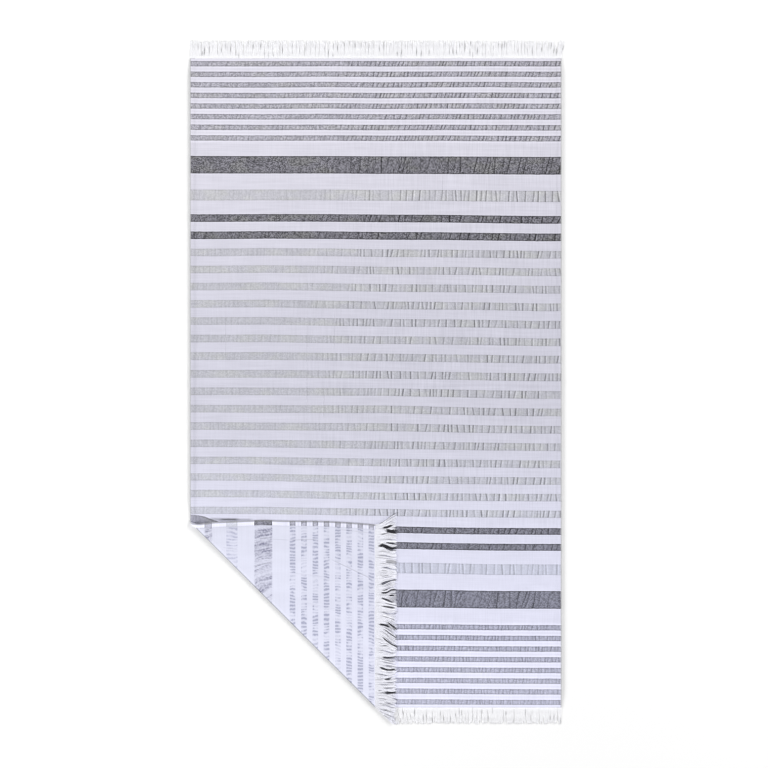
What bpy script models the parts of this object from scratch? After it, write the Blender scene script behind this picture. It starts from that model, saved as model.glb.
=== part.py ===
"""A flat-woven cotton beach towel that lies open, with its lower left corner turned over.

Metres, +X across the towel, +Y towards its top end, +Z up. The underside lies on Z = 0.
Every piece is first made flat, in the cloth's own plane, and is then laid by one function, lay().
On the flat cloth, x and y are a point's place and w its height above the back of the weave.
"""

import math
import random
from collections import namedtuple

import bmesh
import bpy

# ---- driving sizes ---------------------------------------------------------------------------
CLOTH_WIDTH = 1.016
CLOTH_LENGTH = 1.774
CLOTH_TOP = 0.8848  # Y of the woven edge at the top end
CLOTH_BOTTOM = CLOTH_TOP - CLOTH_LENGTH
HALF_WIDTH = CLOTH_WIDTH / 2
THICKNESS = 0.0015
GRID = 0.036  # about the spacing of the lines that the sheet is divided by

HEM_WIDTH = 0.0125  # the long edges are turned to the back and stitched down
HEM_EXTRA = 0.0007
HEM_STEP = 0.0016  # width of the step at the hem's inner edge

# The corner is turned over along a 45 degree line, x + y = constant.
DIAGONAL = math.sqrt(0.5)
FOLD_DISTANCE = 0.6291  # from the middle of the towel to the outside of the fold
FOLD_START = -0.089  # place along the fold line where it leaves the left edge
ROLL_AT_EDGE = 0.0045  # bend radius where the fold leaves the left edge
ROLL_AT_TIP = 0.0028
ROLL_EASE = 0.22  # length over which the roll flattens
LAYER_GAP = 0.0010
SETTLE = 0.075  # distance from the fold at which the flap has come down on the cloth
ROLL_CUT = 0.0021  # spacing of the lines around the roll

# The flap's upper edge bows: place across the towel, and how far it stands above a straight edge.
EDGE_BOW = (
    (-0.508, -0.0040),
    (-0.494, -0.0024),
    (-0.475, -0.0016),
    (-0.442, 0.0022),
    (-0.393, 0.0034),
    (-0.344, 0.0048),
    (-0.311, 0.0062),
    (-0.245, 0.0037),
    (-0.180, 0.0034),
    (-0.131, 0.0021),
    (-0.081, -0.0007),
    (-0.032, -0.0040),
    (0.006, -0.0075),
)
EDGE_EASE = 0.018  # distance from the fold over which the bow begins
HEM_RISE = 0.0060  # how far the flap's hem stands off the cloth near the loose end of the fold
HEM_RISE_AT = -0.420
HEM_RISE_RUN = 0.085
HEM_RISE_DEPTH = 0.045
SIDE_LIFT = 0.0025  # how far the hemmed edges curl up from the ground
SIDE_RUN = 0.024

# A pressed crease across the middle, from the towel's storage fold.
CREASE_Y = -0.003
CREASE_HALF = 0.010
CREASE_HEIGHT = 0.0013

# Soft swells where the cloth doesn't lie quite flat.
Swell = namedtuple("Swell", "x y half_width half_length height")
SWELLS = (
    Swell(0.300, 0.520, 0.150, 0.190, 0.0022),
    Swell(-0.230, 0.240, 0.180, 0.130, 0.0016),
    Swell(0.210, -0.240, 0.170, 0.150, 0.0020),
    Swell(-0.280, 0.640, 0.140, 0.120, 0.0014),
    Swell(0.330, -0.600, 0.120, 0.140, 0.0018),
    Swell(-0.210, -0.540, 0.130, 0.110, 0.0015),
)

# ---- fringe ----------------------------------------------------------------------------------
BACKING_GAP = 0.0003
BACKING_WIDTH = 0.004
STRAND_HEIGHT = 0.0012
STRAND_PITCH = 0.0069
STRAND_WIDTH = 0.0043
STRAND_TAPER = 0.55
STRAND_SPREAD = 0.0007  # how far a strand's tip may wander to either side
WAVE = 0.0024  # sway that neighbouring strands share
TOP_REACH = ((0.0, 0.0499),)
BOTTOM_REACH = ((0.0, 0.0455),)
FOLDED_REACH = ((-0.508, 0.0540), (0.0, 0.0540), (0.030, 0.0455))  # by place on the edge
SHORTFALL = 0.004  # how much shorter than the longest a strand may be
EDGE_MARGIN = 0.0004
BOTTOM_START = 0.046  # X where the run that still lies on the ground begins

# How far strands lean along the edge by their place on it: at the flap's free corner and beside
# the tip of the fold.
LEAN = (
    (-0.508, -0.030),
    (-0.496, -0.010),
    (-0.478, 0.002),
    (-0.440, 0.0),
    (0.012, 0.0),
    (0.046, 0.012),
    (0.130, 0.0),
)

# ---- colours ---------------------------------------------------------------------------------
COTTON = (0.74, 0.74, 0.82, 1.0)
YARN = (0.90, 0.90, 0.92, 1.0)

Run = namedtuple("Run", "name start end edge outward reach steps seed leans")


def eased(value):
    """A share from 0 to 1 with soft ends."""
    share = min(max(value, 0.0), 1.0)
    return share * share * (3.0 - 2.0 * share)


def roll_radius(along):
    """Bend radius of the fold, which is loose at the towel's edge and tighter towards the tip."""
    loose = 1.0 - eased((along - FOLD_START) / ROLL_EASE)
    return ROLL_AT_TIP + (ROLL_AT_EDGE - ROLL_AT_TIP) * loose


def relief(x, y):
    """Height of the lying cloth's underside above the ground."""
    height = CREASE_HEIGHT * (1.0 - eased(abs(y - CREASE_Y) / CREASE_HALF))
    for swell in SWELLS:
        away = math.hypot((x - swell.x) / swell.half_width, (y - swell.y) / swell.half_length)
        height += swell.height * (1.0 - eased(away))
    return height


def between(value, table):
    """The level at a value, from a table of rising values with their levels."""
    if value <= table[0][0]:
        return table[0][1]
    for (first, low), (second, high) in zip(table, table[1:]):
        if value <= second:
            return low + (high - low) * (value - first) / (second - first)
    return table[-1][1]


def curl(x, y, past):
    """How far the hemmed edges curl up, fading towards the ends and the fold."""
    inland = eased((HALF_WIDTH - abs(x)) / SIDE_RUN)
    ends = eased((CLOTH_TOP - y) / 0.05) * eased((y - CLOTH_BOTTOM) / 0.05)
    return SIDE_LIFT * (1.0 - inland) * ends * eased(-past / 0.05)


def hem_stand(x, laid_x):
    """How far the flap's hem stands up near the loose end of the fold."""
    near = 1.0 - eased(abs(laid_x - HEM_RISE_AT) / HEM_RISE_RUN)
    return HEM_RISE * near * (1.0 - eased((x + HALF_WIDTH) / HEM_RISE_DEPTH))


def lay(x, y, w, lift=0.0):
    """The place in the laid towel of a point of the flat cloth; lift is the hem's thickness there."""
    beyond = -(x + y) * DIAGONAL - FOLD_DISTANCE
    along = (x - y) * DIAGONAL
    radius = roll_radius(along)
    centre = -(radius + THICKNESS / 2)
    from_middle = w - THICKNESS / 2
    past = beyond - centre
    turned = past - math.pi * radius
    on_flap = False
    if past <= 0.0:
        reach = beyond
        height = w + lift + curl(x, y, past)
    elif turned <= 0.0:
        angle = past / radius
        arm = radius - from_middle
        reach = centre + arm * math.sin(angle)
        height = THICKNESS / 2 + radius - arm * math.cos(angle)
        height += lift * math.cos(angle / 2) ** 2
        on_flap = angle > math.pi / 2
    else:
        reach = centre - turned
        settled = THICKNESS + LAYER_GAP
        apart = settled + (2 * radius - settled) * (1.0 - eased(turned / SETTLE))
        height = THICKNESS / 2 + apart - from_middle
        on_flap = True
    laid_x = (along - reach - FOLD_DISTANCE) * DIAGONAL
    laid_y = (-along - reach - FOLD_DISTANCE) * DIAGONAL
    if on_flap:
        laid_y += between(laid_x, EDGE_BOW) * eased(-reach / EDGE_EASE)
    if turned > 0.0:
        height += hem_stand(x, laid_x) * eased(turned / 0.010)
    return laid_x, laid_y, height + relief(laid_x, laid_y)


def even_steps(start, end, spacing):
    """Places from start to end, evenly spaced at about the given distance."""
    count = max(1, round((end - start) / spacing))
    return [start + (end - start) * step / count for step in range(count + 1)]


def flat_sheet(mesh, columns, rows):
    """A sheet of faces at height 0 whose lines run at the given columns and rows."""
    last_column = len(columns) - 1
    last_row = len(rows) - 1
    bmesh.ops.create_grid(mesh, x_segments=last_column, y_segments=last_row, size=0.5)
    for vert in mesh.verts:
        column = round((vert.co.x + 0.5) * last_column)
        row = round((vert.co.y + 0.5) * last_row)
        vert.co = (columns[column], rows[row], 0.0)


def thicken(mesh, height):
    """Turn the flat sheet into a closed slab of the given height."""
    result = bmesh.ops.extrude_face_region(mesh, geom=mesh.faces[:], use_keep_orig=True)
    raised = [item for item in result["geom"] if isinstance(item, bmesh.types.BMVert)]
    bmesh.ops.translate(mesh, verts=raised, vec=(0.0, 0.0, height))
    bmesh.ops.recalc_face_normals(mesh, faces=mesh.faces[:])


def to_object(mesh, name, material):
    """Make the finished mesh an object of its own."""
    data = bpy.data.meshes.new(name)
    mesh.to_mesh(data)
    mesh.free()
    data.materials.append(material)
    data.shade_smooth()
    data.set_sharp_from_angle(angle=math.radians(50))
    piece = bpy.data.objects.new(name, data)
    bpy.context.scene.collection.objects.link(piece)
    return piece


def cotton_material(name, colour, roughness):
    """A matt cotton of one colour."""
    material = bpy.data.materials.new(name)
    material.use_nodes = True
    shader = material.node_tree.nodes["Principled BSDF"]
    shader.inputs["Base Color"].default_value = colour
    shader.inputs["Roughness"].default_value = roughness
    shader.inputs["Metallic"].default_value = 0.0
    return material


def cloth_columns():
    """Lines along the towel: both hems with their steps, and the cloth between them."""
    inner = HALF_WIDTH - HEM_WIDTH - HEM_STEP
    left_hem = [-HALF_WIDTH, -HALF_WIDTH + HEM_WIDTH]
    right_hem = [HALF_WIDTH - HEM_WIDTH, HALF_WIDTH]
    left = even_steps(-inner, BOTTOM_START, GRID)
    right = even_steps(BOTTOM_START, inner, GRID)
    return left_hem + left[:-1] + right + right_hem


def cloth_rows():
    """Lines across the towel, with a close set at the pressed crease."""
    below = even_steps(CLOTH_BOTTOM, CREASE_Y - CREASE_HALF, GRID)
    above = even_steps(CREASE_Y + CREASE_HALF, CLOTH_TOP, GRID)
    return below + [CREASE_Y - CREASE_HALF / 2, CREASE_Y, CREASE_Y + CREASE_HALF / 2] + above


def score_fold(mesh):
    """Divide a flat piece by close lines where it will be rolled over."""
    deepest = ROLL_AT_EDGE + THICKNESS / 2
    turn = math.pi * ROLL_AT_EDGE
    for offset in even_steps(-deepest, turn - ROLL_AT_TIP, ROLL_CUT) + [turn + SETTLE / 4]:
        away = -(FOLD_DISTANCE + offset) * DIAGONAL
        bmesh.ops.bisect_plane(
            mesh,
            geom=mesh.verts[:] + mesh.edges[:] + mesh.faces[:],
            dist=0.0001,
            plane_co=(away, away, 0.0),
            plane_no=(1.0, 1.0, 0.0),
        )


def hem_extra(x):
    """What the turned hem adds to the thickness."""
    return HEM_EXTRA if abs(x) > HALF_WIDTH - HEM_WIDTH - HEM_STEP / 2 else 0.0


def make_cloth(material):
    """The whole woven sheet with its two stitched hems, as one folded solid."""
    mesh = bmesh.new()
    flat_sheet(mesh, cloth_columns(), cloth_rows())
    score_fold(mesh)
    bmesh.ops.triangulate(mesh, faces=mesh.faces[:])
    thicken(mesh, THICKNESS)
    for vert in mesh.verts:
        x, y, w = vert.co
        lift = hem_extra(x)
        if w < THICKNESS / 2:
            w -= lift
        vert.co = lay(x, y, w, lift)
    return to_object(mesh, "cloth", material)


def make_fringe(run, material):
    """A narrow backing along an end edge, with its row of strands drawn out of it."""
    draw = random.Random(run.seed)
    count = int((run.end - run.start - 2 * EDGE_MARGIN) / STRAND_PITCH)
    pitch = (run.end - run.start - 2 * EDGE_MARGIN) / count
    columns = [run.start + EDGE_MARGIN]
    for strand in range(count):
        middle = run.start + EDGE_MARGIN + pitch * (strand + 0.5)
        half = STRAND_WIDTH / 2 * draw.uniform(0.85, 1.1)
        columns += [middle - half, middle + half]
    columns.append(run.end - EDGE_MARGIN)
    near = run.edge + run.outward * BACKING_GAP
    far = near + run.outward * BACKING_WIDTH
    mesh = bmesh.new()
    flat_sheet(mesh, columns, sorted((near, far)))
    thicken(mesh, STRAND_HEIGHT)
    outer = [face for face in mesh.faces if face.normal.y * run.outward > 0.9]
    outer.sort(key=lambda face: face.calc_center_median().x)
    for strand, face in enumerate(outer[1::2]):
        shortfall = SHORTFALL * draw.random() if strand % 7 else 0.0
        reach = between(face.calc_center_median().x, run.reach)
        length = reach - BACKING_GAP - BACKING_WIDTH - shortfall
        sway = WAVE * math.sin(strand * 0.61 + run.seed) * math.sin(strand * 0.17)
        sway += draw.uniform(-STRAND_SPREAD, STRAND_SPREAD)
        grow_strand(mesh, face, run, length, sway, far)
    if run.steps > 1:
        score_fold(mesh)
    for vert in mesh.verts:
        vert.co = lay(*vert.co)
    bmesh.ops.triangulate(mesh, faces=mesh.faces[:])
    return to_object(mesh, run.name, material)


def grow_strand(mesh, face, run, length, sway, root):
    """Draw one strand out of a face of the backing, a step at a time, narrower towards its tip."""
    middle = face.calc_center_median().x
    halves = [vert.co.x - middle for vert in face.verts]
    lean = between(middle, LEAN) if run.leans else 0.0
    limit = HALF_WIDTH - EDGE_MARGIN
    lowest = -limit - (0.05 if run.leans else 0.0)
    for step in range(1, run.steps + 1):
        share = step / run.steps
        bend = sway * math.sin(share * math.pi * 0.5 * (1 + run.steps / 2)) + lean * share ** 1.3
        slim = 1.0 - (1.0 - STRAND_TAPER) * share
        face = bmesh.ops.extrude_discrete_faces(mesh, faces=[face])["faces"][0]
        for vert, half in zip(face.verts, halves):
            x = middle + bend + half * slim
            vert.co.x = min(max(x, lowest), limit)
            vert.co.y = root + run.outward * length * share
            vert.co.z *= 1.0 - 0.25 * share / run.steps


def main():
    for old in list(bpy.data.objects):
        bpy.data.objects.remove(old)
    cotton = cotton_material("striped_cotton", COTTON, 0.9)
    yarn = cotton_material("fringe_yarn", YARN, 0.95)
    left, right, low = -HALF_WIDTH, HALF_WIDTH, CLOTH_BOTTOM
    runs = (
        Run("fringe_top", left, right, CLOTH_TOP, 1, TOP_REACH, 1, 3, False),
        Run("fringe_bottom", BOTTOM_START, right, low, -1, BOTTOM_REACH, 1, 5, True),
        Run("fringe_folded", left, BOTTOM_START, low, -1, FOLDED_REACH, 3, 8, True),
    )
    make_cloth(cotton)
    for run in runs:
        make_fringe(run, yarn)


main()
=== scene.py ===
"""The looks of a flat-woven striped beach towel that lies open with one corner turned over.

Lengths are metres. +X runs across the towel, +Y towards its top end and +Z up. The woven cloth and
each run of fringe are first made flat, in the cloth's own plane, and are then laid by TowelLie.
"""

import logging
import math
import random
from dataclasses import dataclass, field
from enum import Enum
from typing import Any, Dict, List, Optional, Sequence, Tuple, Union

import bmesh
import bpy
import numpy as np
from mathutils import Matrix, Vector


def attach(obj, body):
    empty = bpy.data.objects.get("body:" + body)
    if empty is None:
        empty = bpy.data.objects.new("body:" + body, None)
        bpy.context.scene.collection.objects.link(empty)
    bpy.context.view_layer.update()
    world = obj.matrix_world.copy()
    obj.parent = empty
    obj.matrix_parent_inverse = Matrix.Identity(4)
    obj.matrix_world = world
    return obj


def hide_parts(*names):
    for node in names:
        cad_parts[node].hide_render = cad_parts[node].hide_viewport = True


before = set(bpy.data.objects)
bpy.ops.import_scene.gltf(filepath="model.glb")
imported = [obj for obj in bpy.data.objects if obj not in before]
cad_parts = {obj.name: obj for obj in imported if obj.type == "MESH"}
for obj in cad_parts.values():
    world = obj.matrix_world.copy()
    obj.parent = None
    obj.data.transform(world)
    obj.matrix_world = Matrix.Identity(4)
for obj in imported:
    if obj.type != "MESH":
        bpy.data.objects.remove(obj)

LOG = logging.getLogger("towel")
BODY = "root"
DIAGONAL = math.sqrt(0.5)
MAP_NAME = "weave"
PUCKER_NAME = "pucker"
YARN_NAME = "yarn"
MILLIMETRE = 0.001
SPECULAR = 0.25
SHEEN_ROUGHNESS = 0.6

Colour = Tuple[float, float, float]
Run = Tuple[float, float]  # where a change starts and where it is complete
Profile = Tuple[Tuple[float, float], ...]  # places, each with its level


def eased(value: np.ndarray) -> np.ndarray:
    """A share from 0 to 1 with soft ends.

    Args:
        value: numbers, of which those under 0 and over 1 are held there.

    Returns:
        The eased share of each.
    """
    share = np.clip(value, 0.0, 1.0)
    return share * share * (3.0 - 2.0 * share)


def even_steps(start: float, end: float, spacing: float) -> List[float]:
    """Places from start to end, evenly spaced.

    Args:
        start: first place.
        end: last place.
        spacing: about how far apart.

    Returns:
        The places, both ends included.
    """
    count = max(1, round((end - start) / spacing))
    return [start + (end - start) * step / count for step in range(count + 1)]


def level_at(profile: Profile, place: Union[float, np.ndarray]) -> Union[float, np.ndarray]:
    """The level of a profile at a place, or at each of some places."""
    return np.interp(place, *zip(*profile))


def held(share: float) -> float:
    """A share, held between 0 and 1."""
    return min(max(share, 0.0), 1.0)


# ---- how the towel lies ----------------------------------------------------------------------


@dataclass(frozen=True)
class TowelSize:
    """The cut and hemmed towel, flat."""

    width: float = 1.016
    length: float = 1.774
    top: float = 0.8848  # Y of the woven edge at the top end
    thickness: float = 0.0015
    hem_width: float = 0.0125
    hem_extra: float = 0.0007
    hem_step: float = 0.0016

    @property
    def bottom(self) -> float:
        """Y of the woven edge at the bottom end."""
        return self.top - self.length

    @property
    def half(self) -> float:
        """Half of the width."""
        return self.width / 2

    @property
    def hem_start(self) -> float:
        """Distance from the middle line, past which the cloth is as thick as the hem."""
        return self.half - self.hem_width - self.hem_step / 2


@dataclass(frozen=True)
class Swell:
    """A place where the cloth doesn't lie quite flat."""

    x: float
    y: float
    half_width: float
    half_length: float
    height: float


@dataclass(frozen=True)
class TowelLie:
    """The towel as it lies: its turned corner, its storage crease and its soft swells."""

    size: TowelSize = TowelSize()
    fold_distance: float = 0.6291  # from the middle of the towel to the outside of the fold
    fold_start: float = -0.089
    roll_at_edge: float = 0.0045
    roll_at_tip: float = 0.0028
    roll_ease: float = 0.22
    layer_gap: float = 0.0010
    settle: float = 0.075
    # How far the flap's upper edge stands above a straight one, by place across the towel.
    bow: Profile = (
        (-0.508, -0.0050), (-0.494, -0.0033), (-0.475, -0.0022), (-0.442, 0.0026),
        (-0.393, 0.0042), (-0.344, 0.0057), (-0.311, 0.0070), (-0.245, 0.0045),
        (-0.180, 0.0042), (-0.131, 0.0030), (-0.081, 0.0002), (-0.032, -0.0032),
        (0.006, -0.0066),
    )
    bow_ease: float = 0.018
    side_lift: float = 0.0025  # how far the hemmed edges curl up from the ground
    side_run: float = 0.024
    side_ends: float = 0.05  # distance from the ends and the fold over which the curl fades
    turn_lead: float = 0.020  # how far before the fold the cloth is drawn along, and over what run
    turn_run: float = 0.018
    hem_rise: float = 0.0060  # how far the flap's hem stands off the cloth near the fold
    hem_rise_at: float = -0.420
    hem_rise_run: float = 0.085
    hem_rise_depth: float = 0.045
    hem_rise_ease: float = 0.010
    crease_y: float = -0.003
    crease_half: float = 0.010
    crease_height: float = 0.0013
    swells: Tuple[Swell, ...] = (
        Swell(0.300, 0.520, 0.150, 0.190, 0.0022),
        Swell(-0.230, 0.240, 0.180, 0.130, 0.0016),
        Swell(0.210, -0.240, 0.170, 0.150, 0.0020),
        Swell(-0.280, 0.640, 0.140, 0.120, 0.0014),
        Swell(0.330, -0.600, 0.120, 0.140, 0.0018),
        Swell(-0.210, -0.540, 0.130, 0.110, 0.0015),
    )
    # How far the weft has wandered down, in millimetres: distance from the top end, then the
    # drop at each of the places across the towel.
    slip_places: Tuple[float, ...] = (-0.440, -0.303, -0.139, 0.025, 0.176, 0.312, 0.444)
    weft_slip: Tuple[Tuple[float, Tuple[float, ...]], ...] = (
        (0.000, (0.0, 0.0, 0.0, 0.0, 0.0, 0.0, 0.0)),
        (0.070, (-0.5, 0.0, -1.6, 0.0, -1.1, -1.4, -0.1)),
        (0.159, (-0.6, 0.0, -0.9, 0.2, -0.6, -0.2, 0.3)),
        (0.217, (-0.5, 0.2, -0.2, 0.5, 0.0, 1.0, 1.6)),
        (0.290, (-0.3, 0.0, -0.3, 0.8, 1.5, 1.9, 2.5)),
        (0.373, (-0.3, -0.6, -0.5, 0.8, 0.7, 2.5, 3.8)),
        (0.436, (-0.2, -1.0, -0.8, 0.5, 1.1, 3.3, 4.6)),
        (0.530, (-0.8, -2.2, -1.3, 1.4, 2.1, 3.7, 5.7)),
        (0.624, (-1.2, -2.2, 0.0, 2.6, 3.6, 5.1, 7.6)),
        (0.718, (-0.6, -1.5, 1.7, 4.0, 5.4, 6.8, 9.9)),
        (0.812, (1.2, 0.8, 3.0, 4.8, 6.9, 8.9, 11.0)),
        (0.859, (3.2, 2.8, 4.2, 5.6, 7.8, 10.6, 12.4)),
        (0.953, (4.2, 5.2, 5.8, 6.0, 9.5, 13.0, 14.5)),
        (1.046, (5.5, 6.4, 8.3, 10.2, 11.8, 14.4, 16.0)),
        (1.093, (5.0, 5.8, 8.5, 11.1, 12.4, 14.2, 15.8)),
        (1.140, (3.1, 4.4, 8.3, 11.0, 12.0, 13.7, 14.9)),
        (1.187, (1.7, 2.8, 6.4, 9.3, 11.3, 12.2, 13.2)),
        (1.234, (0.9, 1.0, 4.4, 6.7, 9.8, 10.7, 11.7)),
        (1.260, (0.3, 0.4, 2.0, 4.0, 7.0, 8.5, 9.0)),
        (1.285, (0.0, 0.0, 0.5, 1.5, 5.3, 6.6, 7.4)),
        (1.329, (0.0, 0.0, 0.0, 0.8, 4.4, 6.5, 7.0)),
        (1.391, (0.0, 0.0, 0.0, 0.5, 2.6, 5.7, 6.4)),
        (1.475, (0.0, 0.0, 0.0, 0.3, 1.3, 3.7, 4.2)),
        (1.640, (0.0, 0.0, 0.0, 0.0, 1.1, 2.3, 2.8)),
        (1.758, (0.0, 0.0, 0.0, 0.0, 0.6, 1.5, 2.3)),
        (1.774, (0.0, 0.0, 0.0, 0.0, 0.0, 0.0, 0.0)),
    )

    def beyond_fold(self, x: np.ndarray, y: np.ndarray) -> np.ndarray:
        """How far points of the flat cloth are beyond the outside of the fold."""
        return -(x + y) * DIAGONAL - self.fold_distance

    def roll_radius(self, along: np.ndarray) -> np.ndarray:
        """Bend radius of the fold, loose at the towel's edge and tighter towards the tip."""
        loose = 1.0 - eased((along - self.fold_start) / self.roll_ease)
        return self.roll_at_tip + (self.roll_at_edge - self.roll_at_tip) * loose

    def relief(self, x: np.ndarray, y: np.ndarray) -> np.ndarray:
        """Height of the lying cloth's underside above the ground.

        Args:
            x: places across the laid towel.
            y: places along it.

        Returns:
            The height at each.
        """
        height = self.crease_height * (1.0 - eased(np.abs(y - self.crease_y) / self.crease_half))
        for swell in self.swells:
            away = np.hypot((x - swell.x) / swell.half_width, (y - swell.y) / swell.half_length)
            height = height + swell.height * (1.0 - eased(away))
        return height

    def slip(self, x: np.ndarray, y: np.ndarray) -> np.ndarray:
        """How far the weft has slipped towards the bottom.

        Args:
            x: places across the flat cloth.
            y: places along it.

        Returns:
            The slip at each.
        """
        downs = np.array([down for down, _ in self.weft_slip])
        drops = np.array([np.interp(x, self.slip_places, row) for _, row in self.weft_slip])
        place = np.interp(self.size.top - y, downs, np.arange(len(downs)))
        row = np.minimum(place.astype(int), len(downs) - 2)
        column, share = np.arange(len(x)), place - row
        slipped = drops[row, column] * (1.0 - share) + drops[row + 1, column] * share
        return MILLIMETRE * slipped

    def place(self, flat: np.ndarray, lift: Union[float, np.ndarray] = 0.0) -> np.ndarray:
        """Lay points of the flat cloth.

        Args:
            flat: one row a point: x and y on the cloth, and height above the back of the weave.
            lift: the hem's extra thickness at each point, which raises the cloth there.

        Returns:
            The same points in the laid towel, one row each.
        """
        half_thick = self.size.thickness / 2
        x, w = flat[:, 0], flat[:, 2]
        y = flat[:, 1] - self.slip(x, flat[:, 1])
        beyond = self.beyond_fold(x, y)
        along = (x - y) * DIAGONAL
        radius = self.roll_radius(along)
        centre = -(radius + half_thick)
        past = beyond - centre
        turned = past - math.pi * radius
        angle = np.clip(past / radius, 0.0, math.pi)
        arm = radius - (w - half_thick)
        settled = self.size.thickness + self.layer_gap
        between = settled + (2 * radius - settled) * (1.0 - eased(turned / self.settle))
        on_ground, over = past <= 0.0, turned > 0.0
        reach = np.where(on_ground, beyond, centre + arm * np.sin(angle))
        reach = np.where(over, centre - turned, reach)
        height = np.where(on_ground, w + lift, half_thick + radius - arm * np.cos(angle))
        height = height + np.where(on_ground | over, 0.0, lift * np.cos(angle / 2) ** 2)
        height = np.where(over, 2 * half_thick + between - w, height)
        laid_x = (along - reach - self.fold_distance) * DIAGONAL
        laid_y = (-along - reach - self.fold_distance) * DIAGONAL
        bow = level_at(self.bow, laid_x) * eased(-reach / self.bow_ease)
        laid_y = laid_y + np.where(angle > math.pi / 2, bow, 0.0)
        stand = self.hem_stand(x, laid_x) * eased(turned / self.hem_rise_ease)
        height = height + np.where(over, stand, self.curl(flat, past))
        return np.column_stack((laid_x, laid_y, height + self.relief(laid_x, laid_y)))

    def curl(self, flat: np.ndarray, past: np.ndarray) -> np.ndarray:
        """How far the hemmed edges curl up, fading towards the ends and the fold.

        Args:
            flat: points of the flat cloth.
            past: how far each is beyond the start of the fold.

        Returns:
            The height to add to each.
        """
        size, ends = self.size, self.side_ends
        inland = eased((size.half - np.abs(flat[:, 0])) / self.side_run)
        top, bottom = (size.top - flat[:, 1]) / ends, (flat[:, 1] - size.bottom) / ends
        return self.side_lift * (1.0 - inland) * (eased(top) * eased(bottom)) * eased(-past / ends)

    def hem_stand(self, x: np.ndarray, laid_x: np.ndarray) -> np.ndarray:
        """How far the flap's hem stands up near the loose end of the fold."""
        near = 1.0 - eased(np.abs(laid_x - self.hem_rise_at) / self.hem_rise_run)
        return self.hem_rise * near * (1.0 - eased((x + self.size.half) / self.hem_rise_depth))

    def turned_over(self, flat: np.ndarray) -> np.ndarray:
        """How far each point is drawn along by the fold: 1 on the flap, 0 on the open cloth."""
        beyond = self.beyond_fold(flat[:, 0], flat[:, 1])
        return eased((beyond + self.turn_lead) / self.turn_run)


# ---- the stripes -----------------------------------------------------------------------------


class Tone(Enum):
    """The yarn of a stripe, from palest to darkest."""

    LIGHT = "light"
    MIDDLE = "middle"
    DARK = "dark"


@dataclass(frozen=True)
class CreaseStyle:
    """How the little creases across one kind of stripe come."""

    spacing: Tuple[float, float]
    slant: float  # how far a crease leans as it comes down the stripe
    spread: float
    faintest: float  # how strong the creases are on the calm left side
    rarity: float  # over 1, most creases are shallow


GATHERED = CreaseStyle((0.0080, 0.0180), -0.30, 0.12, 0.28, 0.8)
UPRIGHT = CreaseStyle((0.0060, 0.0150), -0.06, 0.16, 0.40, 0.8)
PINCHED = CreaseStyle((0.0080, 0.0250), -0.05, 0.10, 0.16, 0.9)
HEAVY = CreaseStyle((0.0095, 0.0300), -0.22, 0.15, 0.25, 0.9)


@dataclass(frozen=True)
class StripeGroup:
    """Stripes of one tone at one pitch, placed by their distance from the top end."""

    tone: Tone
    first: float
    width: float
    count: int = 1
    pitch: float = 0.1
    style: CreaseStyle = HEAVY

    @property
    def lead(self) -> float:
        """White cloth that belongs to each stripe, on either side."""
        return (self.pitch - self.width) / 2

    def stripes(self) -> List[Tuple[float, float]]:
        """Start and end of each stripe."""
        starts = [self.first + self.pitch * number for number in range(self.count)]
        return [(start, start + self.width) for start in starts]


@dataclass(frozen=True)
class StripeChart:
    """Every stripe of the towel, in order from the top end."""

    groups: Tuple[StripeGroup, ...] = (
        StripeGroup(Tone.MIDDLE, 0.0066, 0.0147, 8, 0.02904, GATHERED),
        StripeGroup(Tone.DARK, 0.2664, 0.0479),
        StripeGroup(Tone.LIGHT, 0.3583, 0.0298, style=PINCHED),
        StripeGroup(Tone.DARK, 0.4258, 0.0209, 2, 0.04732),
        StripeGroup(Tone.LIGHT, 0.5202, 0.0206, 16, 0.04691, PINCHED),
        StripeGroup(Tone.DARK, 1.2756, 0.0190, 2, 0.0441),
        StripeGroup(Tone.LIGHT, 1.3765, 0.0293, style=PINCHED),
        StripeGroup(Tone.DARK, 1.4509, 0.0492),
        StripeGroup(Tone.MIDDLE, 1.5453, 0.0145, 8, 0.02942, UPRIGHT),
    )

    def stripes(self) -> List[Tuple[float, float, StripeGroup]]:
        """Start, end and group of every stripe, from the top end down."""
        return [(start, end, group) for group in self.groups for start, end in group.stripes()]


@dataclass(frozen=True)
class Tuck:
    """How far down the pattern is drawn from beside and on the flap, in metres.

    The open cloth is bunched up beside the loose end of the fold, and the flap is stretched a
    little, so the stripes there aren't quite where a plain fold would put them.
    """

    run: float = 0.120
    beside: Profile = (
        (1.2445, 0.0000), (1.2458, 0.0304), (1.2507, 0.0370), (1.2576, 0.0332),
        (1.2617, 0.0307), (1.2680, 0.0267), (1.2800, 0.0150), (1.2946, 0.0020),
        (1.2960, 0.0000),
    )
    flap: Profile = (
        (1.2698, 0.0260), (1.2739, 0.0219), (1.2958, 0.0123), (1.3095, 0.0101),
        (1.3205, 0.0088), (1.3834, 0.0077), (1.4447, 0.0063), (1.4928, 0.0074),
        (1.5486, 0.0041), (1.5795, 0.0025), (1.6109, 0.0005), (1.6413, -0.0003),
        (1.6725, -0.0022), (1.7031, -0.0033), (1.7338, -0.0046), (1.7740, -0.0055),
    )

    def at(self, inland: np.ndarray, down: np.ndarray, flap: np.ndarray) -> np.ndarray:
        """The shift at points of the flat cloth.

        Args:
            inland: distances from the left edge.
            down: distances from the top end.
            flap: 1 on the flap and 0 on the open cloth.

        Returns:
            How far to move the pattern up.
        """
        beside = level_at(self.beside, down) * np.clip(1.0 - inland / self.run, 0.0, 1.0)
        return beside * (1.0 - flap) + level_at(self.flap, down) * flap


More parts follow.
